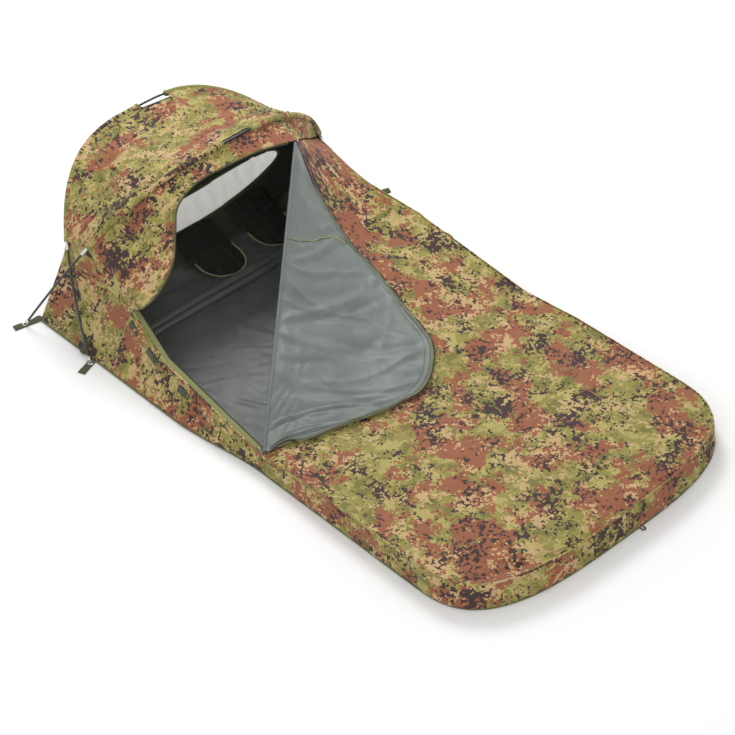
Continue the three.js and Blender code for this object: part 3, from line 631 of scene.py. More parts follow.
def head_x(y):
    return lerp(HEAD_MIDDLE_X, HEAD_CORNER_X, (y / HOOD_HALF) ** 2)


def top_edge(x, side):
    x = np.asarray(x, float)
    edge = FAR_EDGE if side > 0 else NEAR_EDGE
    y = np.interp(x, edge[:, 0], edge[:, 1])
    z = np.interp(x, edge[:, 0], edge[:, 2])
    return np.stack([x, side * y, z], -1)


def foot_point(angle, inset, z):
    """The foot's outline at angles from -pi/2 (near side) to pi/2 (far side)."""
    c, s = np.cos(angle), np.sin(angle)
    x = FOOT_START + (FOOT_DEPTH - inset) * np.abs(c) ** (2 / FOOT_POWER)
    y = (SACK_HALF - inset) * np.sign(s) * np.abs(s) ** (2 / FOOT_POWER)
    return np.stack([x, y, np.broadcast_to(z, np.shape(angle))], -1)


def ruled(a, b, columns):
    w = np.linspace(0, 1, columns)[None, :, None]
    return a[:, None] * (1 - w) + b[:, None] * w


def simulate(rows, pinned, grow, frames, cap, weight=1.0, under=None):
    """The grid as cloth cut `grow` larger than its frame: it sags and buckles between its pinned points."""
    m, n = rows.shape[:2]
    a = (np.arange(m - 1)[:, None] * n + np.arange(n - 1)).ravel()
    faces = np.stack([a, a + n, a + n + 1, a + 1], 1).tolist()
    cloth = new_object("cloth_work", rows.reshape(-1, 3), faces, [])
    cloth.vertex_groups.new(name="pin").add(np.flatnonzero(pinned.ravel()).tolist(), 1.0, "REPLACE")
    holder = None
    if under is not None:
        holder = under.copy()
        holder.data = under.data.copy()
        scene.collection.objects.link(holder)
        holder.modifiers.new("hard", "COLLISION")
        holder.collision.thickness_outer = 0.004
    modifier = cloth.modifiers.new("cloth", "CLOTH")
    s = modifier.settings
    s.quality = 7
    s.mass = 0.12
    s.tension_stiffness = s.compression_stiffness = 18
    s.shear_stiffness = 6
    s.bending_stiffness = 0.08
    s.tension_damping = s.compression_damping = s.shear_damping = 8
    s.air_damping = 2.0
    s.vertex_group_mass = "pin"
    s.shrink_min = -grow
    s.effector_weights.gravity = weight
    modifier.collision_settings.use_self_collision = False
    modifier.collision_settings.use_collision = under is not None
    modifier.collision_settings.distance_min = 0.003
    modifier.point_cache.frame_start, modifier.point_cache.frame_end = 1, frames
    for f in range(1, frames + 1):
        scene.frame_set(f)
    done = cloth.evaluated_get(bpy.context.evaluated_depsgraph_get())
    co = np.empty(m * n * 3)
    done.data.vertices.foreach_get("co", co)
    for o in (cloth, holder):
        if o is not None:
            bpy.data.objects.remove(o, do_unlink=True)
    scene.frame_set(1)
    step = co.reshape(m, n, 3) - rows
    size = np.linalg.norm(step, axis=2, keepdims=True)
    return rows + step * np.minimum(1, cap / np.maximum(size, 1e-9))


def edges_pinned(rows, first=True, last=True, start=True, end=True):
    p = np.zeros(rows.shape[:2], bool)
    p[0], p[-1] = first, last
    p[:, 0] |= start
    p[:, -1] |= end
    return p


def finished(obj, slot, *nodes, body="root"):
    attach(obj, body)
    if nodes:
        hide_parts(*nodes)
    return obj


# ---- the slack top of the sack ------------------------------------------------------------
def top_rows():
    w = np.linspace(0, 1, 11)
    rows = []

    def row(near, far, bulge):
        p = ruled(near[None], far[None], 11)[0]
        p[:, 2] += bulge * 4 * w * (1 - w)
        return p

    for t in np.linspace(0, 1, 11):
        far = top_edge(lerp(-0.888, 0.430, t), 1)
        rows.append(row(lerp(DOOR_HEAD, DOOR_FOOT, t), far, np.interp(t, *TOP_BULGE)))
    rows[0] = even(spline(BROW_TAIL[:4], 60), 11) - (0, 0, 0.006)
    for t in np.linspace(0, 1, 6)[1:]:
        near, far = top_edge(lerp(0.080, FOOT_START, t), -1), top_edge(lerp(0.430, FOOT_START, t), 1)
        rows.append(row(near, far, lerp(0.016, 0.024, t)))
    for t in np.linspace(0, 1, 7)[1:]:
        angle = math.radians(lerp(90, 5, t))
        near, far = foot_point(np.array([-angle, angle]), TOP_INSET, WALL_HEIGHT)
        rows.append(row(near, far, 0.024 * (1 - t**3)))
    return np.array(rows)


top_frame = finer(top_rows(), 88, 56)
top_slack = eased(simulate(top_frame, edges_pinned(top_frame), 0.012, 26, 0.022, 0.6), 2)
top = finer(top_slack, 264, 168)
soft = border(top, 0.05)
folds = (creases(top, 5, 110, 0.0130, 0.013, 0.16, 0.6, 2.2)
         + creases(top, 6, 160, 0.0060, 0.007, 0.07, 0.2, 3.1))
folds *= 1 - 0.75 * eased(within(top, DOOR_EDGE), 14)
top = move(top, soft * (0.005 + 0.008 * cloud(top, 0.22, 3) + folds))
sack_top = shell("sack_top_cloth", top, 0.0012, camo, hood_lining, (2.3, 1.1), plan=(0, 1))
finished(sack_top, "camo_shell", "sack_top")

tree = BVHTree.FromPolygons(top.reshape(-1, 3).tolist(), [
    (i * 168 + j, (i + 1) * 168 + j, (i + 1) * 168 + j + 1,
     i * 168 + j + 1) for i in range(263) for j in range(167)])


def over_top(p, clearance):
    """The points lifted to so far above the sack's top, or above the fold line beside it."""
    out = p.copy()
    fold = DOOR_FOOT - DOOR_HEAD
    for k in np.ndindex(p.shape[:-1]):
        x, y = p[k][0], p[k][1]
        hit = tree.ray_cast(Vector((x, y, 1.0)), Vector((0, 0, -1)))[0]
        t = ((x - DOOR_HEAD[0]) * fold[0] + (y - DOOR_HEAD[1]) * fold[1]) / (fold[0] ** 2 + fold[1] ** 2)
        line = DOOR_HEAD[2] + min(max(t, 0), 1) * fold[2]
        out[k][2] = (hit.z if hit is not None else line) + clearance
    return out


# ---- hood and walls -----------------------------------------------------------------------
CABIN = (-0.90, 0.0, 0.20)


def camo_panel(name, rows, nodes, offset, inside, lumps=0.004, folds=None, fade=0.03,
               grow=0.0,
               coarse_rows=60, puff=0.0):
    coarse = finer(facing_out(rows, inside), coarse_rows, 30)
    if grow:
        coarse = simulate(coarse, edges_pinned(coarse), grow, 18, 0.016, 0.25)
    fine = finer(coarse, 2 * coarse_rows + 60, 90)
    soft = border(fine, fade)
    height = puff + lumps * cloud(fine, 0.16, int(offset[0] * 10) + 3)
    if folds:
        height = height + creases(fine, *folds)
    fine = move(fine, soft * height)
    obj = shell(name, fine, 0.0012, camo, hood_lining, offset, layout=laid_flat(fine))
    finished(obj, "camo_shell", *nodes)
    return fine


def sleeve_gap(s):
    """1 where the bare pole shows between the halves of a sleeve, 0 elsewhere."""
    return smooth(s, GAP[0] - 0.006, GAP[0] + 0.010) * smooth(-s, -GAP[1] - 0.006, -GAP[1] + 0.010)


t = np.linspace(0, 1, 241)
roof_rear = rear.inside(lerp(-REAR_END, REAR_END, t), -0.006)
roof_front = front.inside(lerp(-FRONT_END, FRONT_END, t), -0.006)
across = unit(roof_front - roof_rear)
roof_rear = roof_rear + across * 0.058 * sleeve_gap(lerp(-REAR_END, REAR_END, t))[:, None]
roof_front = roof_front - across * 0.012 * sleeve_gap(lerp(-FRONT_END, FRONT_END, t))[:, None]
roof_rows = ruled(roof_rear, roof_front, 30)
w = np.linspace(0, 1, 30)[None, :]
roof_rows[..., 2] -= 0.014 * np.sin(np.pi * t)[:, None] * 4 * w * (1 - w)
camo_panel("roof_cloth", roof_rows, ["roof_panel"], (4.0, 1.0), CABIN,
                  folds=(11, 64, 0.0100, 0.011, 0.20, 1.5, 0.6), grow=0.006, coarse_rows=150)

t = np.linspace(0, 1, 61)
arc = front.path(-FRONT_END, DOOR_ON_HOOP, 61)
arc = arc + np.array([0, 0, -0.008])
free = spline(HOOD_EDGE, 61)
hood_rows = ruled(arc, free, 30)
hood_rows[..., 2] += 0.010 * (1 - t)[:, None] * 4 * w * (1 - w)
near_edge = even(np.vstack([hood_rows[0, :1], top_edge(np.linspace(-0.915, DOOR_CORNER[0], 40), -1)]), 30)
hood_rows += (near_edge - hood_rows[0])[None] * ((1 - t) ** 6)[:, None, None]
tail_arc = front.path(DOOR_ON_HOOP, FRONT_FAR_END, 31) + np.array([0, 0, -0.008])
hood_rows = np.concatenate([hood_rows, ruled(tail_arc, spline(BROW_TAIL, 31), 30)[1:]])
camo_panel("hood_front_cloth", hood_rows, ["hood_front_panel"], (7.0, 0.6),
           CABIN,
                  lumps=0.003, folds=(12, 44, 0.0075, 0.010, 0.12, 1.2, 0.8), fade=0.02, grow=0.005,
           coarse_rows=90)


def hood_side_rows(side):
    rear_top, front_top = rear.at(REAR_END), front.at(FRONT_END)
    x = lerp(rear_top[0], DOOR_CORNER[0], t)
    share = (x - rear_top[0]) / (front_top[0] - rear_top[0])
    up = np.where(share[:, None] > 1, top_edge(x, side) * (1, side, 1),
                  lerp(rear_top[None], front_top[None], share[:, None]))
    up[:, 1] = side * (up[:, 1] - 0.007 * (1 - smooth(share, 1, 2.6)))
    low = np.stack([lerp(HEAD_CORNER_X, -0.700, t), np.full(61, side * HOOD_HALF), np.full(61, 0.004)], 1)
    return ruled(low, up, 30)


def sack_wall_rows(side):
    x = lerp(-0.700, FOOT_START, t)
    low = np.stack([x, side * ground_half(x), np.full(61, 0.004)], 1)
    up = top_edge(lerp(DOOR_CORNER[0], FOOT_START, t), side)
    return ruled(low, up, 30)


for word, side in (("near", -1), ("far", 1)):
    camo_panel(f"hood_side_{word}_cloth", hood_side_rows(side), [f"hood_side_{word}"],
               (10.0 + side, 2.0), CABIN, folds=(20 + side, 34, 0.011, 0.010, 0.12, 0.9, 1.2), grow=0.006)
    camo_panel(f"sack_wall_{word}_cloth", sack_wall_rows(side), [f"sack_wall_{word}"],
               (13.0 + side, 3.0), (0.1, 0, 0.05), folds=(30 + side, 66, 0.011, 0.009, 0.08, 0.4, 1.6),
               fade=0.02, grow=0.01,
               puff=0.004)

angle = np.radians(np.linspace(-90, 90, 61))
foot_low, foot_up = foot_point(angle, 0, 0.004), foot_point(angle, TOP_INSET, WALL_HEIGHT)
foot_low, foot_up = even(foot_low, 61), even(foot_up, 61)
camo_panel("foot_wall_cloth", ruled(foot_low, foot_up, 30), ["foot_wall"],
           (17.0, 0.5), (0.6, 0, 0.05), folds=(41, 90, 0.011, 0.009, 0.06, 0.2, 1.4), fade=0.015, grow=0.012,
           puff=0.003)


# ---- rear wall with its window ------------------------------------------------------------
def rear_wall_at(t, w):
    y = lerp(-HOOD_HALF, HOOD_HALF, t) * 0.985
    low = np.stack([head_x(y), y, np.full_like(y, 0.004)], -1)
    s = lerp(-REAR_END, REAR_END, t)
    up = rear.inside(s, 0.008) + rear.inward(s) * 0.036 * sleeve_gap(s)[..., None]
    return low + (up - low) * w[..., None]


def on_rear_wall(y, z):
    """Where on the wall, as (t, w), a point with that y and z lies."""
    t = 0.5 + y / (2 * HOOD_HALF)
    for _ in range(60):
        low, up = rear_wall_at(t, np.zeros_like(t)), rear_wall_at(t, np.ones_like(t))
        w = (z - low[..., 2]) / (up[..., 2] - low[..., 2])
        t = np.clip(t + (y - lerp(low[..., 1], up[..., 1], w)) / 1.3, 0.001, 0.999)
    return t, w


def window_outline(grow, count):
    a = np.linspace(0, 2 * math.pi, count)
    c, s = np.cos(a), np.sin(a)
    power = 2 / WINDOW["power"]
    return (-(WINDOW["half_width"] + grow) * np.sign(c) * np.abs(c) ** power,
            WINDOW["z"] + (WINDOW["half_height"] + grow) * np.sign(s) * np.abs(s) ** power)


rim_y, rim_z = window_outline(0.0, 241)
it, iw = on_rear_wall(rim_y, rim_z)
ct, cw = 0.5, float(np.mean(iw))
dt, dw = (it - ct), (iw - cw)
reach = np.minimum(np.where(dt > 0, (1 - ct) / np.maximum(dt, 1e-9), ct / np.maximum(-dt, 1e-9)),
                   np.where(dw > 0, (1 - cw) / np.maximum(dw, 1e-9), cw / np.maximum(-dw, 1e-9)))
ot, ow = ct + dt * reach, cw + dw * reach
for corner_t in (0, 1):
    for corner_w in (0, 1):
        k = int(np.argmin(np.hypot(ot[:-1] - corner_t, ow[:-1] - corner_w)))
        ot[k], ow[k] = corner_t, corner_w
        if k == 0:
            ot[-1], ow[-1] = corner_t, corner_w
ring = np.linspace(0, 1, 26)[:, None] ** 1.3
wall = facing_out(rear_wall_at(lerp(it[None], ot[None], ring), lerp(iw[None], ow[None], ring)), CABIN)
wall_bend = smooth(ring, 0, 0.1) * smooth(1 - ring, 0, 0.06)
wall = move(wall, wall_bend * 0.004 * cloud(wall, 0.16, 9))
rear_wall = shell("rear_wall_cloth", wall, 0.0012, camo, hood_lining, (20.0, 1.5), wrap=True, plan=(1, 2))
finished(rear_wall, "camo_shell", "rear_wall")

mesh_y = WINDOW["half_width"] * 0.998 * np.sin(np.linspace(-math.pi / 2, math.pi / 2, 240))[None]
share = np.linspace(-1, 1, 18)[:, None]
half = WINDOW["half_height"] * (
    1 - np.abs(mesh_y / WINDOW["half_width"]) ** WINDOW["power"]) ** (1 / WINDOW["power"])
mesh_rows = rear_wall_at(*on_rear_wall(mesh_y + 0 * share, WINDOW["z"] + share * half))
gather = 0.0022 * np.sin(mesh_rows[..., 1] * 95 + 3 * cloud(mesh_rows, 0.1, 8)) * (1 - share**4)
vent = shell("vent_mesh_cloth", facing_out(move(mesh_rows, gather), CABIN), 0.0008, window_cloth,
             window_cloth, plan=(1, 2))
finished(vent, "vent_mesh", "vent_mesh")

rim_path = rear_wall_at(it, iw)
for name, lift in (("window_binding_outside", -1), ("window_binding_inside", 1)):
    normal = grid_normals(np.stack([rim_path, rear_wall_at(lerp(ct, it, 1.1), lerp(cw, iw, 1.1))]))[0]
    band = sweep(name, rim_path + normal * 0.0012 * lift, normal, strip(0.012, 0.0012), binding)
    finished(band, "webbing")


# ---- floor and groundsheet ----------------------------------------------------------------
def floor_rows(m, n, inset, z):
    v = np.linspace(-1, 1, n)
    rows = []
    for u in np.linspace(0, 1, m):
        x = lerp(-0.9, FOOT_X - inset, (u - 0.1) / 0.9) if u > 0.1 else -0.9
        half = float(ground_half(x)) - inset
        if x > FOOT_START:
            half = (SACK_HALF - inset) * (
                1 - min(1, (x - FOOT_START) / (FOOT_DEPTH - inset)) ** FOOT_POWER) ** (1 / FOOT_POWER)
        y = v * half
        xs = np.full(n, x) if u > 0.1 else lerp(head_x(y) + inset, -0.9, u / 0.1)
        rows.append(np.stack([xs, y, np.full(n, z)], 1))
    return np.array(rows)


base = floor_rows(240, 140, 0.003, 0.0030)
lift = (creases(base, 51, 170, 0.0100, 0.011, 0.16, 0.9, 1.8)
        + creases(base, 52, 200, 0.0046, 0.006, 0.07, 0.0, 3.1))
lift = np.clip(lift + 0.004 + 0.003 * cloud(base, 0.09, 53), 0, 0.013) * border(base, 0.04)
floor_top = base.copy()
floor_top[..., 2] += lift
floor_inner = shell("groundsheet_inner", floor_top, 0.0010, floor_cloth, under_cloth, plan=(0, 1))
floor_under = shell("groundsheet_under", floor_rows(120, 60, 0.0, 0.0014), 0.0022, under_cloth, under_cloth)
finished(floor_inner, "floor_cloth", "groundsheet")
finished(floor_under, "floor_cloth", "groundsheet")

for k, (dx, radius) in enumerate(((-0.015, 0.0165), (0.017, 0.0135))):
    y = np.linspace(-0.600, 0.590, 160)
    x = lerp(-0.750, -0.735, (y + 0.59) / 1.18) + dx + 0.002 * np.sin(9 * y + k)
    path = np.stack([x, y, np.full(160, radius + 0.003)], 1)
    size = 1 + 0.12 * value_noise(path * 14, 60 + k) + 0.06 * value_noise(path * 40, 62 + k)
    roll = sweep(f"floor_seam_roll_{k + 1}", path, (0, 0, 1), disc(radius, 14, 0.85), floor_cloth, size)
    finished(roll, "floor_cloth", *(["floor_seam_roll"] if k == 0 else []))


# ---- mesh pockets -------------------------------------------------------------------------
def pocket_rows(y0, m=40, n=30):
    s = np.linspace(0, 1, m)
    half = 0.085 * np.sqrt(np.maximum(0.02, 1 - np.maximum(0, (s - 0.6) / 0.4) ** 2))
    k = np.linspace(-1, 1, n)
    x = lerp(-1.020, -0.785, s)
    z = 0.013 + 0.083 * (1 - s) ** 2.2
    rows = np.stack([np.repeat(x[:, None], n, 1), y0 + 0.020 * s[:, None] + half[:, None] * k,
                     np.repeat(z[:, None], n, 1)], -1)
    rows[..., 2] += 0.010 * (1 - k**2) * (1 - s[:, None]) + 0.0015 * np.sin(rows[..., 1] * 160)
    return rows


for word, y0 in (("near", -0.010), ("far", 0.235)):
    rows = pocket_rows(y0)
    cloth = shell(f"pocket_{word}_mesh", rows, 0.0008, pocket_cloth, pocket_cloth)
    finished(cloth, "pocket_mesh", f"pocket_{word}")
    hem = np.concatenate([rows[18:, 0], rows[-1, 1:-1], rows[18:, -1][::-1]])
    hem[:, 2] += 0.002
    finished(sweep(f"pocket_{word}_trim", even(hem, 70), (0, 0, 1), strip(0.007, 0.0014), trim), "webbing")


# ---- poles --------------------------------------------------------------------------------
TIP_START, TIP_LENGTH, JOINT = 0.004, 0.024, 0.0006


def lathe(profile, origin, axis, sides=28):
    """Vertices, faces and cloth coordinates of a turned piece along an axis."""
    axis = unit(np.asarray(axis, float))
    side = unit(np.cross(axis, (0.31, 0.87, 0.2)))
    other = np.cross(axis, side)
    a = np.linspace(0, 2 * math.pi, sides, endpoint=False)
    around = np.cos(a)[:, None] * side + np.sin(a)[:, None] * other
    profile = np.asarray(profile, float)
    verts = (origin + profile[:, None, 1:] * axis + profile[:, None, :1] * around[None]).reshape(-1, 3)
    faces = [(i * sides + j, i * sides + (j + 1) % sides, (i + 1) * sides + (j + 1) % sides,
              (i + 1) * sides + j)
             for i in range(len(profile) - 1) for j in range(sides)]
    return verts, faces, np.zeros((len(verts), 2))


for hoop, name, end in ((front, "front", FRONT_END), (rear, "rear", REAR_END)):
    total = hoop.run()[1][-1]
    first = TIP_START + TIP_LENGTH + JOINT
    step = (total - 2 * first) / 5
    for i in range(5):
        path = hoop.stretch(first + i * step + JOINT / 2, first + (i + 1) * step - JOINT / 2, 40)
        piece = sweep(f"{name}_rod_{i + 1}", path, (1, 0, 0), disc(0.0044), rod)
        finished(piece, "pole_fibreglass", f"{name}_pole_section_{i + 1}")
    for i in range(1, 5):
        at = first + i * step
        path = hoop.stretch(at - 0.030, at + 0.030, 24)
        d = np.linspace(-1, 1, 24)
        size = np.where(np.abs(d) > 0.93, 0.93, 1.0) - 0.05 * np.exp(-(((np.abs(d) - 0.75) / 0.04) ** 2))
        piece = sweep(f"{name}_ferrule_{i}_sleeve", path, (1, 0, 0), disc(0.0064, 20), steel, size)
        finished(piece, "steel", f"{name}_pole_ferrule_{i}")
    for word, flip in (("near", 1), ("far", -1)):
        a, b = hoop.stretch(TIP_START, TIP_START + TIP_LENGTH, 2) * (1, flip, 1)
        profile = np.array([(0.0, 0), (1.4, 0), (2.2, 0.8), (2.4, 9), (4.4, 9.6), (5, 10.4), (5, 13.6),
                            (4.4, 14.6),
                            (4.4, 24), (0.0, 24)]) * MM
        v, f, uv = lathe(profile, a, b - a)
        tip = outward(new_object(f"{name}_tip_{word}", v, f, [steel], None, uv))
        weld(tip)
        finished(tip, "steel", f"{name}_pole_tip_{word}")

    far_end = REAR_END if name == "rear" else FRONT_FAR_END
    for word, low, high in (("near", -end, GAP[0]), ("far", GAP[1], far_end)):
        path = hoop.path(low, high, 150)
        rise = -hoop.inward(np.clip(path[:, 1] / hoop.span, -1, 1))
        d = np.linspace(0, 1, 150)
        size = 1 + 0.07 * value_noise(path * 22, 71) + 0.05 * value_noise(path * 60, 73)
        size *= 1 - 0.18 * np.exp(-d / 0.012) - 0.18 * np.exp(-(1 - d) / 0.012)
        section = disc(0.0108, 18) * (1.0, 0.92)
        section[13, 1] -= 0.003
        sleeve = sweep(f"{name}_sleeve_{word}_cloth", path, rise, section,
                       sleeve_cloth if (name, word) == ("rear", "far") else camo, size)
        finished(sleeve, "camo_shell", f"{name}_sleeve_{word}")
        for k in (0, 1):
            hem = hoop.path(*((low, low + 0.012) if k == 0 else (high - 0.012, high)), 6)
            finished(sweep(f"{name}_sleeve_{word}_hem_{k + 1}", hem, (1, 0, 0), disc(0.0112, 18),
                           sleeve_cloth), "webbing")


# ---- straps, eyelets and loop -------------------------------------------------------------
def eyelet_centre(hoop, side):
    p = hoop.stretch(0, 0.010, 11)[3]
    return np.array([p[0], side * abs(p[1]), 0.0])


for hoop, name, root_x, end_x, length in ((front, "front", -1.107, -1.128, 0.092),
                                          (rear, "rear", -0.789, -0.762, 0.072)):
    for word, side in (("near", -1), ("far", 1)):
        eye = eyelet_centre(hoop, side)
        y = np.linspace(0.628, 0.643 + length, 60)
        d = (y - 0.643) / length
        path = np.stack([lerp(root_x, end_x, np.clip(d, 0, 1)), side * y, 0.0024 + 0 * y], 1)
        path[:, 2] += 0.010 * np.exp(-((d - 0.0) / 0.12) ** 2) * (d < 0.4) * 0.5
        belt = sweep(f"{name}_webbing_{word}", path, (0, 0, 1), strip(0.028, 0.0022, 10), webbing)
        finished(belt, "webbing", f"{name}_anchor_strap_{word}")
        fold = path[-16:] + (0, 0, 0.0021)
        finished(sweep(f"{name}_webbing_turn_{word}", fold, (0, 0, 1), strip(0.027, 0.0018, 10), webbing),
                 "webbing")
        ring = np.array([(6.6, -0.2), (7.4, -0.6), (10.2, -0.6), (10.5, 0.2), (10.2, 0.9), (7.4, 1.2),
                         (6.6, 0.6), (6.6, -0.2)])
        upper = lathe(ring * MM, eye + (0, 0, 0.0048), (0, 0, 1), 40)
        lower = lathe(ring * MM, eye + (0, 0, 0.0008), (0, 0, 1), 40)
        barrel = lathe(np.array([(6.7, 0.3), (7.2, 0.3), (7.2, 4.6), (6.7, 4.6), (6.7, 0.3)]) * MM, eye,
                       (0, 0, 1), 40)
        eyelet = merged(f"{name}_eyelet_{word}_ring", [upper, lower, barrel], steel)
        weld(eyelet)
        finished(outward(eyelet), "steel", f"{name}_eyelet_{word}")

loop_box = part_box("foot_peg_loop")
lx, ly, lz = (np.array([a, b]) for a, b in zip(*loop_box))
mid = ly.mean()
turn = np.linspace(-math.pi / 2, math.pi / 2, 30)
reach_x, half_y = lx[1] - lx[0] - 0.0025, (ly[1] - ly[0]) / 2 - 0.0028
bend = np.stack([lx[0] + reach_x * np.cos(turn) ** 0.5,
                 mid + half_y * np.sign(turn) * np.abs(np.sin(turn)) ** 0.7,
                 np.full(30, lz.mean())], 1)
loop = sweep("foot_loop_webbing", even(bend, 50), (0, 0, 1), strip(0.0052, 0.0026), webbing)
finished(loop, "webbing", "foot_peg_loop", body="foot_loop")


# ---- the folded door ----------------------------------------------------------------------
door_free = spline(DOOR_EDGE, 241)
DOOR_ROWS, DOOR_COLUMNS = 72, 40
d = np.linspace(0.012, 0.985, DOOR_ROWS)
fold_line = DOOR_HEAD + (DOOR_FOOT - DOOR_HEAD) * d[:, None]
edge_line = np.stack([np.interp(d, np.linspace(0, 1, 241), door_free[:, k]) for k in range(3)], 1)
flat_fold = fold_line * (1, 1, 0)
plan = ruled(flat_fold, edge_line, DOOR_COLUMNS)
door_plan = over_top(plan, 0.013)
door_plan = simulate(door_plan, edges_pinned(door_plan, end=False), 0.010, 22, 0.020, 0.5, under=sack_top)
for _ in range(5):
    door_plan = eased(door_plan, 1)
    door_plan[1:-1, -1] = (door_plan[:-2, -1] + 2 * door_plan[1:-1, -1] + door_plan[2:, -1]) / 4
for k in np.ndindex(door_plan.shape[:2]):
    hit = tree.ray_cast(Vector((door_plan[k][0], door_plan[k][1], 1.0)), Vector((0, 0, -1)))[0]
    if hit is not None:
        door_plan[k][2] = max(door_plan[k][2], hit.z + 0.010)
DOOR_FINE = (216, 120)
door = finer(door_plan, *DOOR_FINE)
across_door = cloth_lengths(door)[1]
door_soft = border(door, 0.05)
door_height = 0.006 * cloud(door, 0.2, 31) + creases(door, 33, 46, 0.014, 0.018, 0.24, 0.25, 1.6)
door_height += creases(door, 34, 60, 0.004, 0.008, 0.12, 0.9, 2.0)
door = door + np.array([0, 0, 1]) * (np.maximum(door_height + 0.002, -0.004) * door_soft)[..., None]
curl = smooth(across_door / across_door[:, -1:], 0.86, 1.0)
door[..., 2] += 0.004 * curl * (1 + cloud(door, 0.14, 36))
door[..., 2] = np.maximum(door[..., 2], over_top(door, 0.0045)[..., 2])
door_cloth = shell("door_cloth", door, 0.0014, lining, camo, (30.0, 2.0), plan=(0, 1))
finished(door_cloth, "lining", "door_panel", body="door")


def zip_row(name, path, up, body, slot, nodes=(), pitch=0.0032):
    """A row of coil teeth along the path, each a small rounded block."""
    count = int(np.linalg.norm(np.diff(path, axis=0), axis=1).sum() / pitch)
    p = even(path, count)
    tangent = unit(np.gradient(p, axis=0))
    up = np.broadcast_to(up, p.shape) if np.ndim(up) == 1 else np.stack(
        [np.interp(np.linspace(0, 1, count), np.linspace(0, 1, len(up)), up[:, k]) for k in range(3)], 1)
    side = unit(np.cross(tangent, up))
    rise = np.cross(side, tangent)
    parts = [box_part(p[i], (tangent[i], side[i], rise[i]), (0.0017, 0.0042, 0.0022)) for i in range(count)]
    finished(outward(merged(name, parts, coil)), slot, *nodes, body=body)


def stitches(name, path, up, body="root", pitch=0.006):
    """A line of thread stitches lying on the cloth."""
    count = int(np.linalg.norm(np.diff(path, axis=0), axis=1).sum() / pitch)
    p = even(path, count)
    tangent = unit(np.gradient(p, axis=0))
    up = np.broadcast_to(np.asarray(up, float), p.shape)
    side = unit(np.cross(tangent, up))
    parts = [box_part(p[i], (tangent[i], side[i], np.cross(side[i], tangent[i])), (0.0040, 0.0011, 0.0009))
             for i in range(count)]
    finished(outward(merged(name, parts, thread)), "webbing", body=body)


door_normal = grid_normals(door)
door_up = np.where(door_normal[..., 2:] < 0, -door_normal, door_normal)
hem_edge = door[:, -1]
hem_up = door_up[:, -3]
tape = sweep("door_tape", hem_edge + hem_up * 0.0008, hem_up, strip(0.016, 0.0012, 8), tape_cloth)
finished(tape, "zip_tape", "door_zip_tape", body="door")
inward = unit(door[:, -8] - door[:, -1])
zip_row("door_zip_coil", hem_edge - inward * 0.0075 + hem_up * 0.0014, hem_up, "door", "zip_tape")
stitches("door_tape_stitches", hem_edge + inward * 0.0060 + hem_up * 0.0018, (0, 0, 1), "door")
stitches("door_hem_stitches", hem_edge + inward * 0.024 + hem_up * 0.0012, (0, 0, 1), "door")

seam_column = np.arange(2, DOOR_FINE[1] - 8)
seam_share = seam_column / DOOR_FINE[1]
seam_row = np.round(lerp(70, 36, seam_share) - 8 * np.sin(np.pi * seam_share) ** 2)
seam_row = seam_row.astype(int)
seam_across = even((door + door_up * 0.0012)[seam_row, seam_column], 90)
seam = sweep("door_lining_seam", seam_across, (0, 0, 1), strip(0.008, 0.0004, 8, 0.0), trim)
finished(seam, "lining", body="door")
for k in (-1, 1):
    beside = seam_across + np.array([0.0035, 0.002, 0.0016]) * (k, k, 1)
    stitches(f"door_seam_stitches_{(k + 3) // 2}", beside, (0, 0, 1), "door")

# The roll of cloth where the door turns over: it bends from the sack's top to the door.
fold_dir = unit(DOOR_FOOT - DOOR_HEAD)
far_dir = unit(np.cross((0, 0, 1), fold_dir))
if far_dir[1] < 0:
    far_dir = -far_dir
up_dir = unit(np.cross(fold_dir, far_dir))
up_dir = up_dir if up_dir[2] > 0 else -up_dir
along_fold = DOOR_HEAD + (DOOR_FOOT - DOOR_HEAD) * np.linspace(0.012, 0.985, 160)[:, None]
turn = np.linspace(-math.pi / 2, math.pi / 2, 14)
roll_rows = (along_fold[:, None] + far_dir * (0.004 - 0.0085 * np.cos(turn))[None, :, None]
             + up_dir * (0.0066 + 0.0066 * np.sin(turn))[None, :, None])
roll_rows += (up_dir * (0.0012 * cloud(along_fold, 0.05, 38))[:, None])[:, None]
roll = shell("door_fold_roll", roll_rows, 0.0012, lining, lining, (33.0, 4.0))
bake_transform(roll)


# ---- zips on the fixed side ---------------------------------------------------------------
wall_edge = top_edge(np.linspace(0.050, DOOR_CORNER[0], 120), -1)
wall_in = np.array([0, 0.96, 0.28])
wall_up = unit(np.cross(wall_in, unit(wall_edge[-1] - wall_edge[0])))
wall_up = wall_up if wall_up[2] > 0 else -wall_up
tape = sweep("wall_tape", wall_edge + wall_in * 0.0100, wall_up, strip(0.026, 0.0012, 8), facing)
finished(tape, "zip_tape", "wall_zip_tape")
zip_row("wall_zip_coil", wall_edge + wall_in * 0.0225 + wall_up * 0.0006, wall_up, "root", "zip_tape")
stitches("wall_tape_stitches", wall_edge + wall_in * 0.002 + wall_up * 0.0012, wall_up)

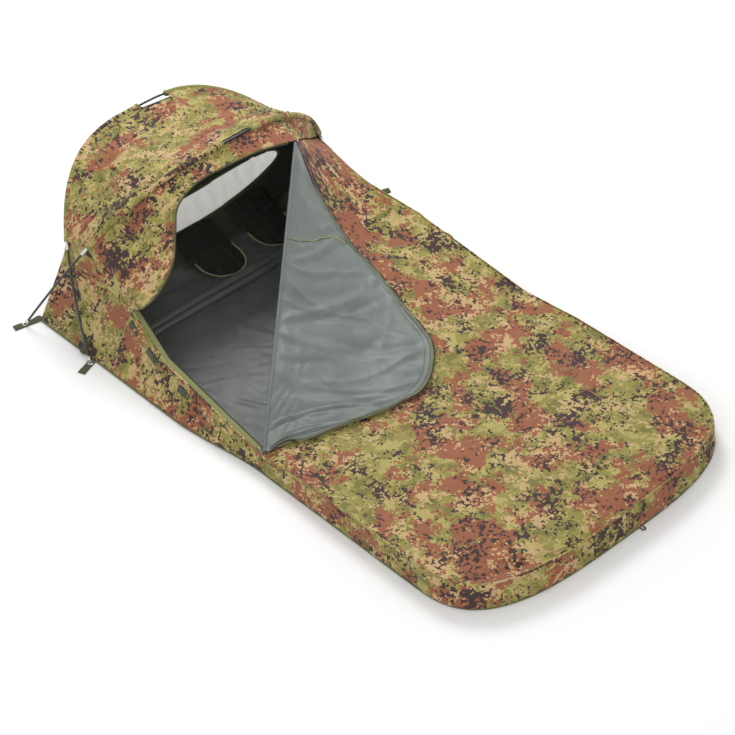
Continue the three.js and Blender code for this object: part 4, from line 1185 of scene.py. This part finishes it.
hood_edge = spline(HOOD_EDGE, 240)[8:-8]
fold_at = DOOR_FOOT + (DOOR_HEAD - DOOR_FOOT) * np.linspace(0.48, 1, len(hood_edge))[:, None]
hood_in = unit(fold_at - hood_edge)
hood_up = unit(np.cross(np.gradient(hood_edge, axis=0), hood_in))
hood_up = hood_up * np.sign((hood_up @ np.array([1.0, -0.6, 0.6])))[:, None]
tape = sweep("hood_tape", hood_edge + hood_in * 0.0010 - hood_up * 0.0014, hood_up, strip(0.010, 0.0012, 8),
             binding)
finished(tape, "zip_tape", "hood_zip_tape")
zip_row("hood_zip_coil", hood_edge + hood_in * 0.0050 - hood_up * 0.0010, hood_up, "root", "zip_tape")
stitches("hood_tape_stitches", hood_edge - hood_in * 0.006 + hood_up * 0.0020, (0.5, -0.3, 0.6))


def oriented(node):
    """A CAD block's centre, its three unit directions (long, wide, thin) and its lengths."""
    co = np.array([v.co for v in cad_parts[node].data.vertices], float)
    centre = co.mean(0)
    axes = np.linalg.svd(co - centre, full_matrices=False)[2]
    span = [np.ptp((co - centre) @ a) for a in axes]
    return centre, axes, span


centre, axes, span = oriented("zip_slider")
axes[2] *= np.sign(axes[2][2])
body_part = box_part(centre - axes[2] * 0.0006, axes, (span[0], span[1], span[2] * 0.7))
bridge = [box_part(centre + axes[2] * 0.0016 + axes[0] * 0.0036 * k, axes,
                   (0.0016, 0.003, 0.0012)) for k in (-1, 1)]
finished(outward(merged("slider_body", [body_part, *bridge], dark_steel)), "zip_metal", "zip_slider",
         body="zip_slider")
centre, axes, span = oriented("zip_pull")
axes[2] *= np.sign(axes[2][2])
plate = box_part(centre, axes, (span[0] * 0.98, span[1] * 0.9, span[2] * 0.8))
grip = box_part(centre + axes[0] * 0.004 * np.sign(axes[0][0]), axes, (span[0] * 0.5, span[1], span[2]))
finished(outward(merged("pull_tab", [plate, grip], dark_steel)), "zip_metal", "zip_pull", body="zip_pull")


# ---- seams, patches and tabs --------------------------------------------------------------
def piping(name, path, up, width):
    finished(sweep(name, path, up, strip(width, 0.0022, 8, 0.0012), camo), "camo_shell")


for word, side in (("near", -1), ("far", 1)):
    edge = top_edge(np.linspace(DOOR_CORNER[0], FOOT_START, 200), side)
    piping(f"top_seam_{word}", edge, (0, 0.6 * side, 0.8), 0.007)
    stitches(f"top_seam_stitches_{word}", edge + (0, 0.004 * side, -0.006), (0, side, 0.25))
foot_seam = even(foot_point(np.radians(np.linspace(-90, 90, 181)), TOP_INSET, WALL_HEIGHT), 220)
out = unit(foot_seam - (0.6, 0, 0.0)) * (1, 1, 0) + (0, 0, 0.9)
piping("top_seam_foot", foot_seam, unit(out), 0.007)

ground = [np.stack([np.linspace(HEAD_CORNER_X, FOOT_START, 160),
                    side * ground_half(np.linspace(HEAD_CORNER_X, FOOT_START, 160)),
                    np.full(160, 0.0045)], 1) for side in (-1, 1)]
foot_line = even(foot_point(np.radians(np.linspace(-90, 90, 181)), 0.0, 0.0045), 200)
head_y = np.linspace(HOOD_HALF, -HOOD_HALF, 60)
head_line = np.stack([head_x(head_y) - 0.002, head_y, np.full(60, 0.0045)], 1)
hem_path = even(np.concatenate([ground[0], foot_line[1:-1], ground[1][::-1], head_line[1:-1], ground[0][:1]]),
                640)
hem = sweep("ground_hem", hem_path, (0, 0, 1), strip(0.008, 0.0055, 8), binding)
finished(hem, "floor_cloth")

for i in (1, 2, 3):
    centre, axes, span = oriented(f"wall_hook_patch_{i}")
    axes[2] *= -np.sign(axes[2][1])
    a = np.linspace(0, 2 * math.pi, 48, endpoint=False)
    c, s = np.cos(a), np.sin(a)
    outline = np.stack([span[0] / 2 * np.sign(c) * np.abs(c) ** 0.25,
                        span[1] / 2 * np.sign(s) * np.abs(s) ** 0.25], 1)
    verts = np.concatenate([centre + outline[:, :1] * axes[0] + outline[:, 1:] * axes[1] + axes[2] * z
                            for z in (-0.0042, 0.0)] + [
        centre + 0.95 * outline[:, :1] * axes[0] + 0.92 * outline[:, 1:] * axes[1] + axes[2] * 0.0009])
    faces = [(k + 48 * r, (k + 1) % 48 + 48 * r, (k + 1) % 48 + 48 * (r + 1), k + 48 * (r + 1))
             for r in (0, 1) for k in range(48)]
    faces += [tuple(range(47, -1, -1)), tuple(range(96, 144))]
    uv = np.concatenate([outline] * 3)
    finished(outward(new_object(f"hook_patch_{i}", verts, faces, [pile], None, uv)), "hook_and_loop",
             f"wall_hook_patch_{i}")
    border_path = (centre + 0.86 * outline[:, :1] * axes[0] + 0.74 * outline[:, 1:] * axes[1]
                   + axes[2] * 0.0012)
    stitches(f"hook_patch_{i}_stitches", np.vstack([border_path, border_path[:1]]), tuple(axes[2]),
             pitch=0.005)

# A short tab of webbing on the near side, above the rear hoop's anchor.
tab_y = np.linspace(-0.652, -0.610, 20)
tab = np.stack([np.full(20, -0.842), tab_y, 0.008 + 0.9 * (tab_y + 0.652)], 1)
finished(sweep("near_tab", tab, (0, -0.7, 0.7), strip(0.024, 0.0024, 8), webbing), "webbing")


# ---- stage, light and camera --------------------------------------------------------------
floor_mesh = new_object("stage_floor", [(-40, -40, 0), (40, -40, 0), (40, 40, 0), (-40, 40, 0)],
                        [(0, 1, 2, 3)], [])
white = Look("stage_white", Base_Color=(0.86, 0.86, 0.86, 1), Roughness=0.9)
floor_mesh.data.materials.append(white.material)

world = bpy.data.worlds.new("studio")
scene.world = world
world.use_nodes = True
world.node_tree.nodes["Background"].inputs[0].default_value = (1, 1, 1, 1)
world.node_tree.nodes["Background"].inputs[1].default_value = 0.84
scene.view_settings.view_transform = "Standard"


def area_light(name, place, target, size, power):
    data = bpy.data.lights.new(name, "AREA")
    data.shape, data.size, data.energy = "DISK", size, power
    lamp = bpy.data.objects.new(name, data)
    scene.collection.objects.link(lamp)
    lamp.location = place
    lamp.rotation_euler = (Vector(target) - Vector(place)).to_track_quat("-Z", "Y").to_euler()


area_light("key", (-2.6, 1.6, 4.2), (0, 0, 0), 2.0, 130)
area_light("fill", (3.0, -3.6, 3.2), (0, 0, 0.1), 3.0, 42)

azimuth, elevation, roll_angle, distance = (math.radians(51.591), math.radians(40.607), math.radians(-5.038),
                                            9.122)
target = Vector((-0.0745, -0.0076, 0.0))
back = Vector((math.sin(azimuth) * math.cos(elevation), -math.cos(azimuth) * math.cos(elevation),
               math.sin(elevation)))
right = Vector((math.cos(azimuth), math.sin(azimuth), 0))
up = back.cross(right)
right, up = (math.cos(roll_angle) * right + math.sin(roll_angle) * up,
             -math.sin(roll_angle) * right + math.cos(roll_angle) * up)
camera_data = bpy.data.cameras.new("camera")
camera_data.sensor_width = 36
camera_data.lens = 131.1
camera = bpy.data.objects.new("camera", camera_data)
scene.collection.objects.link(camera)
camera.matrix_world = (Matrix.Translation(target + back * distance)
                       @ Matrix((right, up, back)).transposed().to_4x4())
scene.camera = camera
